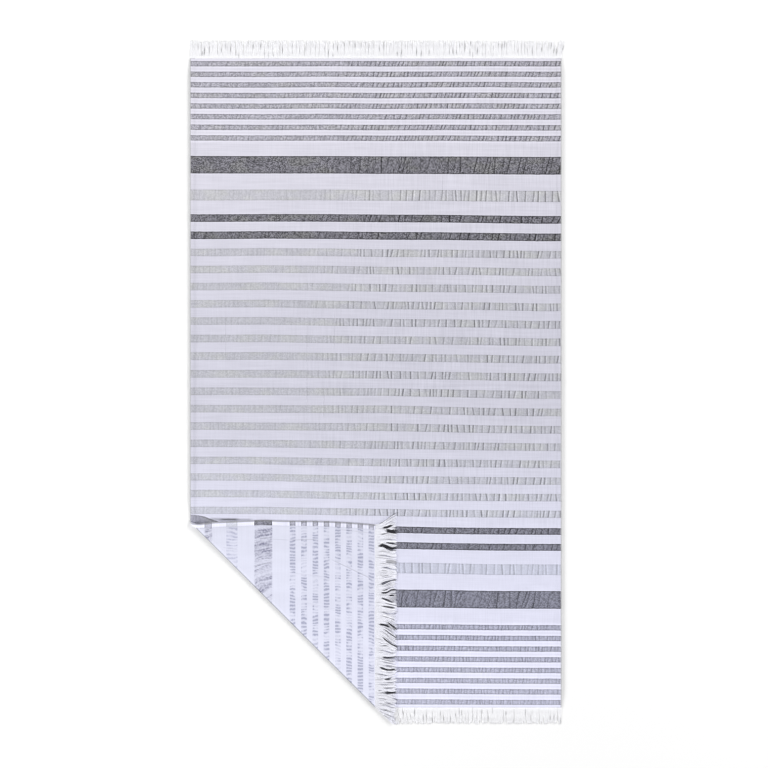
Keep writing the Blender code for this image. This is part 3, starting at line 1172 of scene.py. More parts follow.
@dataclass(frozen=True)
class BackFinish(CottonFinish):
    """The wrong side, where the white weft covers most of the coloured one."""

    ripple: float = 0.0018
    thread_height: float = 0.00018
    ground: Colour = (0.607, 0.601, 0.668)
    ground_grain: Tuple[float, float] = (0.09, 0.03)  # of the weft and of the warp
    smudge: Colour = (0.410, 0.410, 0.500)  # each tone's yarn, seen through the white weft
    dashed: Colour = (0.325, 0.328, 0.412)
    veiled: Colour = (0.200, 0.195, 0.262)
    rung: float = 0.0088  # how far apart the dashes of the light and middle stripes lie
    drifting: Pattern = Pattern((34.0, 34.0), 6.4, 0.0)
    drift: float = 1.7  # how far the dashes stray from even places, in rungs
    slanting: Pattern = Pattern((22.0, 110.0), 8.2, 0.0)
    slant: float = 0.35
    dash_run: Run = (0.13, 0.33)
    clustering: Pattern = Pattern((44.0, 40.0), 1.3)
    cluster_run: Run = (0.40, 0.58)
    specks: Pattern = Pattern((300.0, 260.0), 4.1)
    speck_run: Run = (0.30, 0.60)
    speck_levels: Run = (0.45, 1.0)
    dash_least: float = 0.05
    dash_alone: float = 0.28  # how much of a dash shows outside the clusters,
    dash_clustered: float = 0.98  # how much more inside them,
    dash_between: float = 0.26  # and how much shows between the dashes there
    hem_run: Run = (0.03, 0.15)  # where, from the hem, the light stripes' dashes fade
    hem_levels: Run = (1.35, 0.26)
    bunch: float = 0.0150  # length of the darker and paler zones of a dark stripe
    bending: Pattern = Pattern((26.0, 20.0), 3.3)
    bend: float = 0.012
    zone_lean: float = 0.22
    zone_run: Run = (0.36, 0.64)
    streaks: Pattern = Pattern((230.0, 16.0), 2.2)
    streak_run: Run = (0.50, 0.66)
    zone_least: float = 0.11  # how much of a dark stripe shows everywhere,
    zone_level: float = 0.34  # how much more in a zone,
    streak_level: float = 0.14  # how much more in a streak,
    streak_zoned: float = 0.42  # and how much more where a streak is in a zone
    zone_stitch: float = 1.2
    fold_run: Run = (1.300, 1.310)  # the narrow dark stripe beside it shows least
    fold_level: float = 0.28
    seam: float = 0.0136  # distance of the hem's stitching from the edge
    seam_run: Run = (0.0006, 0.0022)
    seam_shade: float = 0.14
    # Painted shade on the outermost line of the fold's roll, and a painted highlight on its crest just
    # inside:
    turn_run: Run = (0.0010, 0.0028)
    turn_shade: float = 0.62  # how much painted shade darkens the outermost line of the fold
    highlight_from: Run = (0.0024, 0.0036)
    highlight_until: Run = (0.0062, 0.0100)
    fold_highlight: float = 0.05

    def dashes(self, across: Value, down: Value) -> Value:
        """How much of a middle stripe shows: short dashes across it, in clusters.

        Args:
            across: place from the left edge.
            down: place from the top end.

        Returns:
            The share that shows.
        """
        stray = self.drifting.at(across, down) * self.drift
        phase = across * (1.0 / self.rung) + stray + self.slanting.at(across, down) * self.slant
        dash = abs(phase.fraction() - 0.5).fall(*self.dash_run)
        cluster = self.clustering.at(across, down).ramp(*self.cluster_run)
        speck = self.specks.at(across, down).ramp(*self.speck_run, *self.speck_levels)
        shown = dash * (self.dash_alone + cluster * self.dash_clustered) + cluster * self.dash_between
        return shown * speck + self.dash_least

    def zones(self, across: Value, down: Value, stitch: Value) -> Value:
        """How much of a dark stripe shows: slanted zones and streaks, and single dark stitches.

        Args:
            across: place from the left edge.
            down: place from the top end.
            stitch: level of single stitches.

        Returns:
            The share that shows.
        """
        lean = across + down * self.zone_lean + self.bending.at(across, down) * self.bend
        zone = Pattern((1.0 / self.bunch, 3.0), 9.1).at(lean, down).ramp(*self.zone_run)
        streak = self.streaks.at(lean, down).ramp(*self.streak_run)
        shown = zone * self.zone_level + streak * (self.streak_level + zone * self.streak_zoned)
        return (shown + self.zone_least) * (1.0 + stitch * self.zone_stitch)

    def material(self) -> bpy.types.Material:
        """Build the material.

        Returns:
            The material.
        """
        at, masks = self.surface(), StripeMasks(self.chart)
        tree, (weft, warp) = at.tree, self.ground_grain
        colour = tree.shade(self.ground, self.level + at.weft * weft + at.warp * warp)
        dashes = self.dashes(at.across, at.down)
        zones = self.zones(at.across, at.down, at.stitch)
        for tone, shown, cover in (
            (Tone.LIGHT, self.smudge, dashes * at.across.ramp(*self.hem_run, *self.hem_levels)),
            (Tone.MIDDLE, self.dashed, dashes),
            (Tone.DARK, self.veiled, zones * at.down.ramp(*self.fold_run, self.fold_level, 1.0)),
        ):
            colour = tree.mix(cover.held() * masks.tone(at.edge_down, tone), colour, shown)
        seam = abs(at.across - self.seam).fall(*self.seam_run) * self.seam_shade
        dark, stand = self.pressed(at)
        # Painted shade along the outside of the fold, and a painted highlight just inside it.
        inland = (at.x + at.y) * DIAGONAL + TowelLie().fold_distance
        turn = inland.ramp(*self.turn_run, self.turn_shade, 0.0)
        painted_highlight = inland.ramp(*self.highlight_from) * inland.ramp(*self.highlight_until, self.fold_highlight, 0.0)
        colour = self.lit_and_mottled(at, colour, 1.0 - dark - seam - turn + painted_highlight)
        tree.finish(colour, tree.bump(self.relief(at) + stand), self.roughness, self.sheen)
        return tree.material


@dataclass(frozen=True)
class YarnFinish:
    """The off-white cotton ends of the fringe."""

    name: str = "fringe_yarn"
    pale: Colour = (0.855, 0.855, 0.878)
    # The colour of the painted shadow on yarns that lie in a gap between locks:
    shaded: Colour = (0.020, 0.020, 0.026)
    twist: Pattern = Pattern((3.0, 24.0), 1.7)
    root_level: float = 1.0  # how bright the yarns are next to the cloth
    root_run: Run = (0.10, 0.45)
    # The tips are painted paler, to lift the shade that their ends take:
    tip_run: Run = (0.75, 1.0)
    tip_lift: float = 0.12
    beside_gap: float = 0.4  # painted highlight: how much brighter a yarn is beside a gap
    level: float = 0.95
    ply_shade: float = 0.10  # how much the twisted plies differ in shade, in level and in height
    ply_level: float = 0.08
    ply_height: float = 0.0002
    roughness: float = 0.95

    def material(self) -> bpy.types.Material:
        """Build the material, which reads how much painted shade or highlight a point has, the share
        along it and its turn.

        Returns:
            The material.
        """
        tree = Tree(self.name)
        shade, along, turn = tree.attribute(YARN_NAME)
        ply = self.twist.at(turn, along)
        shaded = (shade + (ply - 0.5) * self.ply_shade).held()
        colour = tree.mix(shaded, self.pale, self.shaded)
        level = self.level + ply * self.ply_level + along.ramp(*self.tip_run, 0.0, self.tip_lift)
        level = level + (0.0 - shade).held() * self.beside_gap
        level = level * along.ramp(*self.root_run, self.root_level, 1.0)
        tree.finish(tree.shade(colour, level), tree.bump(ply * self.ply_height), self.roughness)
        return tree.material


@dataclass(frozen=True)
class GroundFinish:
    """The plain pale ground."""

    colour: Colour = (0.885, 0.885, 0.885)
    clouds: Pattern = Pattern((1.5, 1.5), detail=2.0)
    mottle: float = 0.004
    roughness: float = 0.9

    def material(self) -> bpy.types.Material:
        """Build the material.

        Returns:
            The material.
        """
        tree = Tree("pale_ground")
        x, y, _ = tree.place()
        level = (1.0 - self.mottle / 2) + self.clouds.at(x, y) * self.mottle
        tree.finish(tree.shade(self.colour, level), None, self.roughness)
        return tree.material


# ---- the pieces ------------------------------------------------------------------------------


def make_object(name: str, mesh: bpy.types.Mesh) -> bpy.types.Object:
    """Put a mesh in the scene as an object of its own at the origin.

    Args:
        name: the object's name.
        mesh: its mesh, in place.

    Returns:
        The object.
    """
    piece = bpy.data.objects.new(name, mesh)
    bpy.context.scene.collection.objects.link(piece)
    return piece


def triples(items: Any, name: str) -> np.ndarray:
    """A property of each of a mesh's points or faces, such as its place or its normal.

    Args:
        items: the points or the faces.
        name: the property.

    Returns:
        Its three numbers, one row each.
    """
    flat = np.empty(len(items) * 3)
    items.foreach_get(name, flat)
    return flat.reshape(-1, 3)


def arch(share: np.ndarray) -> np.ndarray:
    """A round arch over the shares from 0 to 1, with a height of 1 in the middle."""
    return np.sqrt(np.maximum(4.0 * share * (1.0 - share), 0.0))


@dataclass
class Cloth:
    """The woven towel with its two stitched hems and its turned-over corner."""

    lie: TowelLie
    chart: StripeChart
    creases: Creases
    name: str = "towel_cloth"
    column_left: float = 0.0062  # about how far apart the lines along the towel are on the left,
    column_right: float = 0.0029  # and on the right, where it gathers more
    column_change: float = -0.12  # X where the one turns into the other
    row_gap: float = 0.030  # about how far apart the lines across the white cloth are,
    stripe_cut: float = 0.010  # and those across a stripe
    crease_clear: float = 1.15  # how far other lines stay from the pressed crease, in its halves
    roll_cut: float = 0.0013  # about how far apart the lines along the roll of the fold are
    weld: float = 0.0001  # a line of the roll uses points that are this near to it
    puff: float = 0.0007  # how far the gathered cloth stands out at most
    puff_edge: float = 0.02  # distance from the side edges over which it comes to that
    flap_right: float = 0.05  # the cloth under the flap: to the left of this, below that,
    flap_top: float = -0.37
    flap_reach: float = -0.36  # and with an x + y of less than this
    calm_under_flap: float = 0.15
    sharp_angle: float = 60.0  # degrees
    tuck: Tuck = Tuck()
    tuck_rows: Tuple[float, float, float] = (1.2440, 1.2960, 0.0026)  # first, last and spacing

    def columns(self) -> List[float]:
        """Lines along the towel: the hems with their steps, and closer ones where it gathers.

        Returns:
            Their X, from the left.
        """
        size = self.lie.size
        inner = size.half - size.hem_width - size.hem_step
        left = even_steps(-inner, self.column_change, self.column_left)
        right = even_steps(self.column_change, inner, self.column_right)
        hem = [size.half - size.hem_width, size.half - size.hem_width / 2, size.half]
        return [-place for place in reversed(hem)] + left[:-1] + right + hem

    def rows(self) -> List[float]:
        """Lines across the towel: each stripe's edges and inside, and the white between them.

        Returns:
            Their Y, from the bottom.
        """
        size = self.lie.size
        down = [0.0]
        for start, end, group in self.chart.stripes():
            down += even_steps(down[-1], start, self.row_gap)[1:]
            steps = max(2, round(group.width / self.stripe_cut))
            down += [start + (end - start) * step / steps for step in range(1, steps + 1)]
        down += even_steps(down[-1], size.length, self.row_gap)[1:]
        first, last, apart = self.tuck_rows
        down = [place for place in down if not first < place < last] + even_steps(first, last, apart)
        crease, half = self.lie.crease_y, self.lie.crease_half
        close = [crease - half * share for share in (-1.0, -0.5, 0.0, 0.5, 1.0)]
        rows = [size.top - place for place in down]
        return sorted([row for row in rows if abs(row - crease) > half * self.crease_clear] + close)

    def blank(self) -> bmesh.types.BMesh:
        """The flat cloth as a closed slab, with close lines where it will be rolled over.

        Returns:
            The slab, which the caller frees.
        """
        size, columns, rows = self.lie.size, self.columns(), self.rows()
        mesh = bmesh.new()
        last_column, last_row = len(columns) - 1, len(rows) - 1
        bmesh.ops.create_grid(mesh, x_segments=last_column, y_segments=last_row, size=0.5)
        for vert in mesh.verts:
            column = round((vert.co.x + 0.5) * last_column)
            row = round((vert.co.y + 0.5) * last_row)
            vert.co = (columns[column], rows[row], 0.0)
        deepest = self.lie.roll_at_edge + size.thickness / 2
        turn = math.pi * self.lie.roll_at_edge
        for offset in even_steps(-deepest, turn - self.lie.roll_at_tip, self.roll_cut):
            away = -(self.lie.fold_distance + offset) * DIAGONAL
            band = 2 * self.row_gap
            near = [face for face in mesh.faces if abs(sum(face.calc_center_median()) - 2 * away) < band]
            geometry = near + list({edge for face in near for edge in face.edges})
            geometry += list({vert for face in near for vert in face.verts})
            cut = {"plane_co": (away, away, 0.0), "plane_no": (1.0, 1.0, 0.0)}
            bmesh.ops.bisect_plane(mesh, geom=geometry, dist=self.weld, **cut)
        result = bmesh.ops.extrude_face_region(mesh, geom=mesh.faces[:], use_keep_orig=True)
        raised = [item for item in result["geom"] if isinstance(item, bmesh.types.BMVert)]
        bmesh.ops.translate(mesh, verts=raised, vec=(0.0, 0.0, size.thickness))
        bmesh.ops.recalc_face_normals(mesh, faces=mesh.faces[:])
        return mesh

    def swell(self, flat: np.ndarray, laid: np.ndarray) -> np.ndarray:
        """How far the gathered stripes puff up between their creases.

        Args:
            flat: points of the flat cloth.
            laid: the same points as laid.

        Returns:
            The height to add to each.
        """
        size = self.lie.size
        down = size.top - flat[:, 1]
        number, depth, _ = self.creases.at(flat[:, 0], down)
        body = np.zeros(len(down))
        for start, end, _ in self.chart.stripes():
            body = np.maximum(body, arch(np.clip((down - start) / (end - start), 0.0, 1.0)))
        inland = eased((size.half - np.abs(flat[:, 0])) / self.puff_edge)
        beyond = self.lie.beyond_fold(flat[:, 0], flat[:, 1])
        hidden = (beyond < 0.0) & (laid[:, 0] < self.flap_right) & (laid[:, 1] < self.flap_top)
        under = hidden & (laid[:, 0] + laid[:, 1] < self.flap_reach)
        calm = np.where(under, self.calm_under_flap, 1.0)
        return self.puff * arch(number % 1.0) * body * depth * inland * calm

    def build(self) -> bpy.types.Object:
        """Make the cloth and lay it.

        Returns:
            The finished object.
        """
        size = self.lie.size
        mesh = bpy.data.meshes.new(self.name)
        blank = self.blank()
        blank.to_mesh(mesh)
        blank.free()
        flat = triples(mesh.vertices, "co")
        self.dress_faces(mesh)
        self.map_weave(mesh, flat)
        lift = np.where(np.abs(flat[:, 0]) > size.hem_start, size.hem_extra, 0.0)
        flat[:, 2] -= np.where(flat[:, 2] < size.thickness / 2, lift, 0.0)
        laid = self.lie.place(flat, lift)
        laid[:, 2] += self.swell(flat, laid)
        mesh.vertices.foreach_set("co", laid.ravel())
        mesh.shade_smooth()
        mesh.set_sharp_from_angle(angle=math.radians(self.sharp_angle))
        mesh.update()
        return make_object(self.name, mesh)

    def dress_faces(self, mesh: bpy.types.Mesh) -> None:
        """Give each face the finish of its side; the turned hem shows the front on the back.

        Args:
            mesh: the flat cloth.
        """
        chart = self.chart
        # The hem's front is painted lighter, as if lit more strongly, and less so on its right part; its
        # rim is a dark line of painted shade along its upper edge.
        hem_finish = FrontFinish(
            "striped_cotton_hem", chart, level=1.25, right_level=0.86, bunched=0.9, bunched_from=1.3170,
            bunched_to=1.3410, rim=0.0050, rim_shade_colour=(0.20, 0.20, 0.21), rim_share=0.72,
        )
        front_finish = FrontFinish("striped_cotton", chart, crinkles=OPEN_CRINKLES)
        back_finish = BackFinish("striped_cotton_back", chart, crinkles=FLAP_CRINKLES)
        for finish in (front_finish, back_finish, hem_finish):
            mesh.materials.append(finish.material())
        back = triples(mesh.polygons, "normal")[:, 2] < -0.5
        hem = np.abs(triples(mesh.polygons, "center")[:, 0]) > self.lie.size.hem_start
        index = np.where(back, np.where(hem, 2, 1), 0).astype(np.int32)
        mesh.polygons.foreach_set("material_index", index)

    def map_weave(self, mesh: bpy.types.Mesh, flat: np.ndarray) -> None:
        """Keep each point's place on the flat cloth, and the creases there, for the finish.

        Args:
            mesh: the flat cloth.
            flat: its points.
        """
        size = self.lie.size
        corners = np.empty(len(mesh.loops), dtype=np.int32)
        mesh.loops.foreach_get("vertex_index", corners)
        across, down = flat[:, 0] + size.half, size.top - flat[:, 1]
        shift = self.tuck.at(across, down, self.lie.turned_over(flat))
        place = np.column_stack((across, down + shift))
        mesh.uv_layers.new(name=MAP_NAME).data.foreach_set("uv", place[corners].ravel())
        pucker = np.column_stack(self.creases.at(flat[:, 0], size.top - flat[:, 1]))
        kept = mesh.attributes.new(PUCKER_NAME, "FLOAT_VECTOR", "POINT")
        kept.data.foreach_set("vector", pucker.ravel())


DRIFT_SHARES = (0.10, 0.35, 0.55, 0.75, 1.0)  # where along a gap its drift is given


@dataclass(frozen=True)
class Parting:
    """A gap between two locks: where it starts, how it wanders, where it stands open and its painted
    shadow.

    The drift is in millimetres, at DRIFT_SHARES after the first, the opening is half of the gap's
    width in millimetres, and begin and end are shares of the fringe's length.
    """

    place: float
    drift: Tuple[float, float, float, float]
    opening: float
    begin: float
    end: float
    dark: float
    fade: float = 0.14  # share of the length over which it opens and closes
    fade_lead: float = 0.3  # share of that change which is before its begin or past its end

    def wander(self, share: float) -> float:
        """How far to the side the gap has gone at a share of the fringe's length."""
        return MILLIMETRE * float(np.interp(share, DRIFT_SHARES, (0.0, *self.drift)))

    def openness(self, share: float) -> float:
        """How far the gap is open there, from 0 to 1."""
        opened, left = (share - self.begin) / self.fade, (self.end - share) / self.fade
        return float(eased(opened + self.fade_lead) * eased(left + self.fade_lead))


# The gaps between the locks of the turned-over corner's fringe, from the hem to the fold.
FLAP_PARTINGS = (
    Parting(-0.5082, (-7.5, -16.0, -25.5, -35.0), 2.4, 0.18, 1.30, 0.90),
    Parting(-0.5000, (-0.4, -0.8, -5.2, -7.8), 3.0, 0.36, 0.83, 1.0),
    Parting(-0.4944, (1.5, 3.4, 4.5, 5.5), 5.2, 0.48, 1.50, 1.0),
    Parting(-0.4816, (-1.2, -2.7, -0.2, 1.9), 0.3, 0.27, 0.53, 0.6),
    Parting(-0.4578, (-0.6, -1.1, 0.1, 0.8), 1.9, 0.50, 0.97, 1.0),
    Parting(-0.4483, (-4.3, 1.5, 5.9, 4.1), 4.3, 0.18, 1.10, 1.0),
    Parting(-0.4119, (0.9, 2.3, 4.0, 6.6), 4.3, 0.50, 1.50, 0.5),
    Parting(-0.4018, (-0.4, -0.0, 4.7, 8.2), 0.4, 0.25, 0.60, 0.5),
    Parting(-0.3823, (-2.1, -1.1, 4.5, 6.6), 0.8, 0.27, 0.60, 0.7),
    Parting(-0.3662, (0.0, -1.1, -3.6, -6.8), 0.4, 0.32, 0.64, 0.6),
    Parting(-0.3443, (-2.0, -7.2, -11.6, -14.2), 1.5, 0.30, 1.10, 1.0),
    Parting(-0.3244, (1.9, 1.1, -5.3, -4.9), 2.1, 0.30, 1.50, 1.0),
    Parting(-0.3156, (1.9, 2.7, 1.3, 1.1), 1.9, 0.62, 0.94, 1.0),
    Parting(-0.3074, (0.4, 5.8, 10.9, 13.1), 1.4, 0.30, 0.83, 0.9),
    Parting(-0.2855, (0.1, 1.4, 3.2, 6.3), 1.6, 0.32, 0.92, 0.9),
    Parting(-0.2705, (2.3, 6.0, 5.2, 0.0), 0.8, 0.80, 1.50, 0.7),
    Parting(-0.2609, (1.5, 4.5, 8.8, 14.5), 0.4, 0.41, 0.90, 0.7),
    Parting(-0.2486, (0.2, 4.2, 16.0, 27.6), 3.0, 0.57, 1.20, 1.0),
    Parting(-0.2363, (0.6, 2.7, 11.5, 20.5), 2.5, 0.19, 0.69, 1.0),
    Parting(-0.2281, (1.8, 8.9, 20.0, 30.1), 1.4, 0.39, 1.10, 0.8),
    Parting(-0.2062, (3.7, 13.7, 24.6, 31.5), 2.4, 0.34, 1.50, 1.0),
    Parting(-0.1884, (4.9, 4.7, 13.3, 20.5), 0.3, 0.17, 0.64, 0.6),
    Parting(-0.1616, (0.3, 2.1, 4.5, 2.7), 0.4, 0.41, 0.97, 0.5),
    Parting(-0.1471, (0.7, 1.6, 1.3, 0.5), 2.1, 0.38, 1.04, 1.0),
    Parting(-0.1422, (3.2, 7.7, 9.9, 11.2), 0.3, 0.32, 0.55, 0.6),
    Parting(-0.1261, (0.8, 2.2, 4.2, 5.5), 0.4, 0.50, 0.97, 0.5),
    Parting(-0.1201, (4.8, 8.5, 9.3, 9.6), 2.9, 0.23, 0.97, 1.0),
    Parting(-0.0886, (0.8, 2.0, 1.0, -4.1), 1.9, 0.41, 0.78, 1.0),
    Parting(-0.0632, (1.3, 1.8, 1.4, 0.5), 0.4, 0.39, 0.97, 0.5),
    Parting(-0.0541, (-0.9, 2.6, 4.5, 3.8), 0.5, 0.16, 0.32, 0.8),
    Parting(-0.0514, (0.5, 1.7, 2.7, 1.6), 2.4, 0.46, 0.97, 1.0),
    Parting(-0.0394, (0.5, 1.2, 3.3, 10.9), 1.0, 0.83, 1.50, 0.8),
    Parting(-0.0320, (-0.4, 1.1, 4.9, 9.0), 0.3, 0.11, 0.55, 0.5),
    Parting(-0.0202, (1.0, 3.4, 6.7, 10.9), 0.3, 0.18, 0.78, 0.4),
    Parting(-0.0011, (-0.9, -1.6, 3.0, 6.9), 0.3, 0.32, 0.97, 0.4),
)


@dataclass(frozen=True)
class Yarn:
    """One loose warp end: where it starts and how it lies."""

    place: float  # X of its root
    to_lock: float  # how far it is drawn to the middle of its lock
    lean: float
    phase: float
    wave: float
    length: float
    level: float  # its share of the stack's height, and of the loft
    rise: float
    shade: float
    tick: float  # where along it the painted shade lies
    tick_half: float

    def shaded(self, share: float) -> float:
        """How much painted shade the yarn has at a share of its length."""
        return self.shade * max(0.0, 1.0 - ((share - self.tick) / self.tick_half) ** 2)


@dataclass
class Fringe:
    """A run of loose warp ends along an end of the towel, which cling together in locks."""

    name: str
    lie: TowelLie
    start: float  # X of the run's ends
    end: float
    edge: float  # Y of the woven edge
    outward: int  # 1 at the top end and -1 at the bottom one
    reach: float  # length of the longest yarns
    seed: int
    spacing: float = 0.0016
    radius: float = 0.00105
    flatness: float = 0.60
    steps: int = 9
    sides: int = 5
    lock_size: Tuple[int, int] = (4, 10)
    gather: Run = (0.02, 0.22)
    gather_from: float = 0.12  # share of its length from which a yarn is drawn to its lock
    gather_run: float = 0.55
    sway: float = 0.0010
    sway_single: float = 0.25  # how much of the sway each yarn of a lock has by itself
    lean_power: float = 1.3
    curl: float = 0.0004
    curl_least: float = 0.4
    curl_rate: float = 2.0  # how fast the curl comes, and below so for the stack and the loft
    turns: float = 0.8  # how often a yarn turns from side to side, by its lock's waviness
    turns_least: float = 0.6
    waves: Run = (0.4, 1.2)
    phase_spread: float = 0.4
    shortfall: float = 0.0095
    stack: float = 0.0006  # how high the upper yarns of a lock lie on the lower ones
    stack_rate: float = 3.0
    loft: float = 0.0  # how high the run arches
    loft_rate: float = 1.2
    loft_places: Profile = ((-0.030, 1.0), (-0.010, 0.0))
    loft_least: float = 0.3
    shadow: float = 0.75  # how dark the painted shadow on the low ends beside a gap gets
    shadow_least: float = 0.35  # share of that for the palest of them
    faint_shadow: float = 0.06  # how dark the painted shade on the other ends may get
    ticks: Run = (0.20, 0.90)  # where along a yarn such painted shade may lie
    tick_halves: Run = (0.12, 0.30)
    root: float = 0.0015
    gaps: float = 0.48  # share of the low ends that get the painted shadow of a dark gap
    gap_least: float = 0.85  # half width of the narrowest gap, in millimetres
    gap_soft: float = 0.0009
    gap_lead: float = 0.0007
    gap_rise: float = 1.4
    gap_rim: float = 0.0030  # how far the painted highlight beside a gap reaches
    gap_rim_share: float = 0.6
    gap_far: float = 0.008  # beyond this a gap has no effect
    slimming: float = 0.35
    tip_slim: float = 0.22
    twist: float = 0.35
    past_left: float = 0.05  # how far past the cloth's left and right edges a yarn may go
    past_right: float = 0.012
    flare: Profile = ((0.0, 0.0),)  # extra lean, by place along the edge
    shorter: Profile = ((0.0, 0.0),)  # what the reach loses, by place
    partings: Tuple[Parting, ...] = ()
    crowding: Profile = ()  # share of the yarns up to each place

    def yarns(self) -> List[Yarn]:
        """The ends, each with its own place, length and way of lying.

        Returns:
            The yarns, in order along the edge.
        """
        draw = random.Random(self.seed)
        count = int((self.end - self.start) / self.spacing)
        shares, marks = zip(*(self.crowding or ((0.0, self.start), (1.0, self.end))))
        places = np.interp((np.arange(count) + 0.5) / count, shares, marks)
        ends: List[Yarn] = []
        while len(ends) < count:
            size = min(draw.randint(*self.lock_size), count - len(ends))
            lock = [float(place) for place in places[len(ends) : len(ends) + size]]
            middle = sum(lock) / size
            gather, lean = draw.uniform(*self.gather), draw.gauss(0.0, self.sway)
            phase, wave, rise = draw.uniform(0.0, math.tau), draw.uniform(*self.waves), draw.random()
            reach = self.reach - float(level_at(self.shorter, middle))
            lean += float(level_at(self.flare, middle))
            for number, place in enumerate(lock):
                outer = number in (0, size - 1)
                deep = outer and draw.random() < self.gaps
                ends.append(
                    Yarn(
                        place=place,
                        to_lock=(middle - place) * gather,
                        lean=lean + draw.gauss(0.0, self.sway * self.sway_single),
                        phase=phase + draw.uniform(-self.phase_spread, self.phase_spread),
                        wave=wave,
                        length=reach - self.shortfall * draw.random() ** 2,
                        level=0.0 if outer else draw.random(),
                        rise=rise,
                        shade=self.shade(draw, deep),
                        tick=draw.uniform(*self.ticks),
                        tick_half=draw.uniform(*self.tick_halves),
                    )
                )
        return ends

    def shade(self, draw: random.Random, deep: bool) -> float:
        """How much painted shade a yarn has at most, more where it lies in a gap."""
        return self.shadow * draw.uniform(self.shadow_least, 1.0) if deep else self.faint_shadow * draw.random()

    def parted(self, place: float, share: float) -> Tuple[float, float]:
        """How the listed gaps draw a yarn aside and shade it.

        Args:
            place: where the yarn starts.
            share: how far along it.

        Returns:
            How far it's drawn aside, and how dark its painted shadow gets, which is less than 0 for a
            painted highlight beside a gap.
        """
        if not self.partings:
            return 0.0, 0.0
        starts = [parting.place for parting in self.partings]
        wanders = [parting.wander(share) for parting in self.partings]
        aside = float(np.interp(place, starts, wanders))
        dark = 0.0
        for parting, wander in zip(self.partings, wanders):
            away = abs(place + aside - parting.place - wander)
            if away < self.gap_far:
                open_here = parting.openness(share)
                half = max(parting.opening, self.gap_least) * MILLIMETRE * open_here
                near = held((half + self.gap_lead - away) / self.gap_soft)
                dark = max(dark, parting.dark * min(open_here * self.gap_rise, 1.0) * near)
                if not dark and away < half + self.gap_rim:
                    dark = -self.gap_rim_share * parting.dark * open_here
        return aside, dark

    def path(self, yarn: Yarn, share: float) -> Tuple[float, float, float]:
        """A yarn's place on the flat cloth's plane.

        Args:
            yarn: one of yarns().
            share: how far along it, from 0 at its root to 1 at its tip.

        Returns:
            x, y and height of its middle.
        """
        turn = share * math.tau * self.turns * (self.turns_least + yarn.wave) + yarn.phase
        bend = (math.sin(turn) - math.sin(yarn.phase)) * min(1.0, share * self.curl_rate)
        drawn = float(eased((share - self.gather_from) / self.gather_run))
        aside, sunk = self.parted(yarn.place, share)
        x = yarn.place + yarn.to_lock * drawn + aside
        x += yarn.lean * share ** self.lean_power
        x += self.curl * bend * (self.curl_least + yarn.wave)
        run = (yarn.length + self.root) * share - self.root
        level = yarn.level * min(1.0, share * self.stack_rate) * (1.0 - max(sunk, 0.0))
        low = self.radius * self.flatness + self.stack * level
        loft = self.loft * float(level_at(self.loft_places, yarn.place))
        loft *= self.loft_least + (1.0 - self.loft_least) * yarn.rise
        hump = math.sin(min(share * self.loft_rate, 1.0) * math.pi)
        return x, self.edge + self.outward * run, low + loft * hump

    def build(self, material: bpy.types.Material) -> bpy.types.Object:
        """Draw every yarn out of a small disc, step by step, and lay them.

        Args:
            material: the yarns' finish.

        Returns:
            The finished object.
        """
        yarns = self.yarns()
        mesh = bmesh.new()
        owner = mesh.faces.layers.int.new("owner")
        notes = mesh.verts.layers.float_vector.new(YARN_NAME)
        ring = {"cap_ends": True, "radius": self.radius, "segments": self.sides}
        for number in range(len(yarns)):
            disc = bmesh.ops.create_circle(mesh, **ring)
            disc["verts"][0].link_faces[0][owner] = number
        faces = mesh.faces[:]
        self.set_rings(faces, owner, notes, yarns, 0)
        copies = bmesh.ops.duplicate(mesh, geom=faces)
        roots = [item for item in copies["geom"] if isinstance(item, bmesh.types.BMFace)]
        bmesh.ops.reverse_faces(mesh, faces=roots)
        for step in range(1, self.steps + 1):
            faces = bmesh.ops.extrude_discrete_faces(mesh, faces=faces)["faces"]
            self.set_rings(faces, owner, notes, yarns, step)
        bmesh.ops.remove_doubles(mesh, verts=mesh.verts[:], dist=1e-7)
        bmesh.ops.recalc_face_normals(mesh, faces=mesh.faces[:])
        data = bpy.data.meshes.new(self.name)
        mesh.to_mesh(data)
        mesh.free()
        flat = triples(data.vertices, "co")
        half = self.lie.size.half
        left = -half - (self.past_left if self.partings else 0.0)
        flat[:, 0] = np.clip(flat[:, 0], left, half + self.past_right)
        data.vertices.foreach_set("co", self.lie.place(flat).ravel())
        data.materials.append(material)
        data.shade_smooth()
        data.update()
        return make_object(self.name, data)

    def set_rings(
        self, faces: Sequence[Any], owner: Any, notes: Any, yarns: List[Yarn], step: int
    ) -> None:
        """Place the ring of points that bounds each yarn's newest end.

        Args:
            faces: the end faces, one a yarn.
            owner: the layer that holds a face's yarn number.
            notes: the layer for each point's painted shade, share and turn.
            yarns: all the yarns.
            step: how many steps from the root.
        """
        share = step / self.steps
        radius = self.radius * (1.0 - self.slimming * share ** 3 if step < self.steps else self.tip_slim)
        for face in faces:
            yarn = yarns[face[owner]]
            x, y, height = self.path(yarn, share)
            gap = self.parted(yarn.place, share)[1]
            shade = gap if gap < 0.0 else max(yarn.shaded(share), gap)
            for number, vert in enumerate(face.verts):
                turn = math.tau * number / self.sides + self.twist * step
                rise = radius * self.flatness * math.sin(turn)
                vert.co = (x + radius * math.cos(turn), y, height + rise)
                vert[notes] = (shade, share, face[owner] + number / self.sides)


# ---- the studio ------------------------------------------------------------------------------


@dataclass(frozen=True)
class Panel:
    """A soft light: where it stands, how big it is and how strong."""

    name: str
    place: Tuple[float, float, float]
    size: float
    power: float


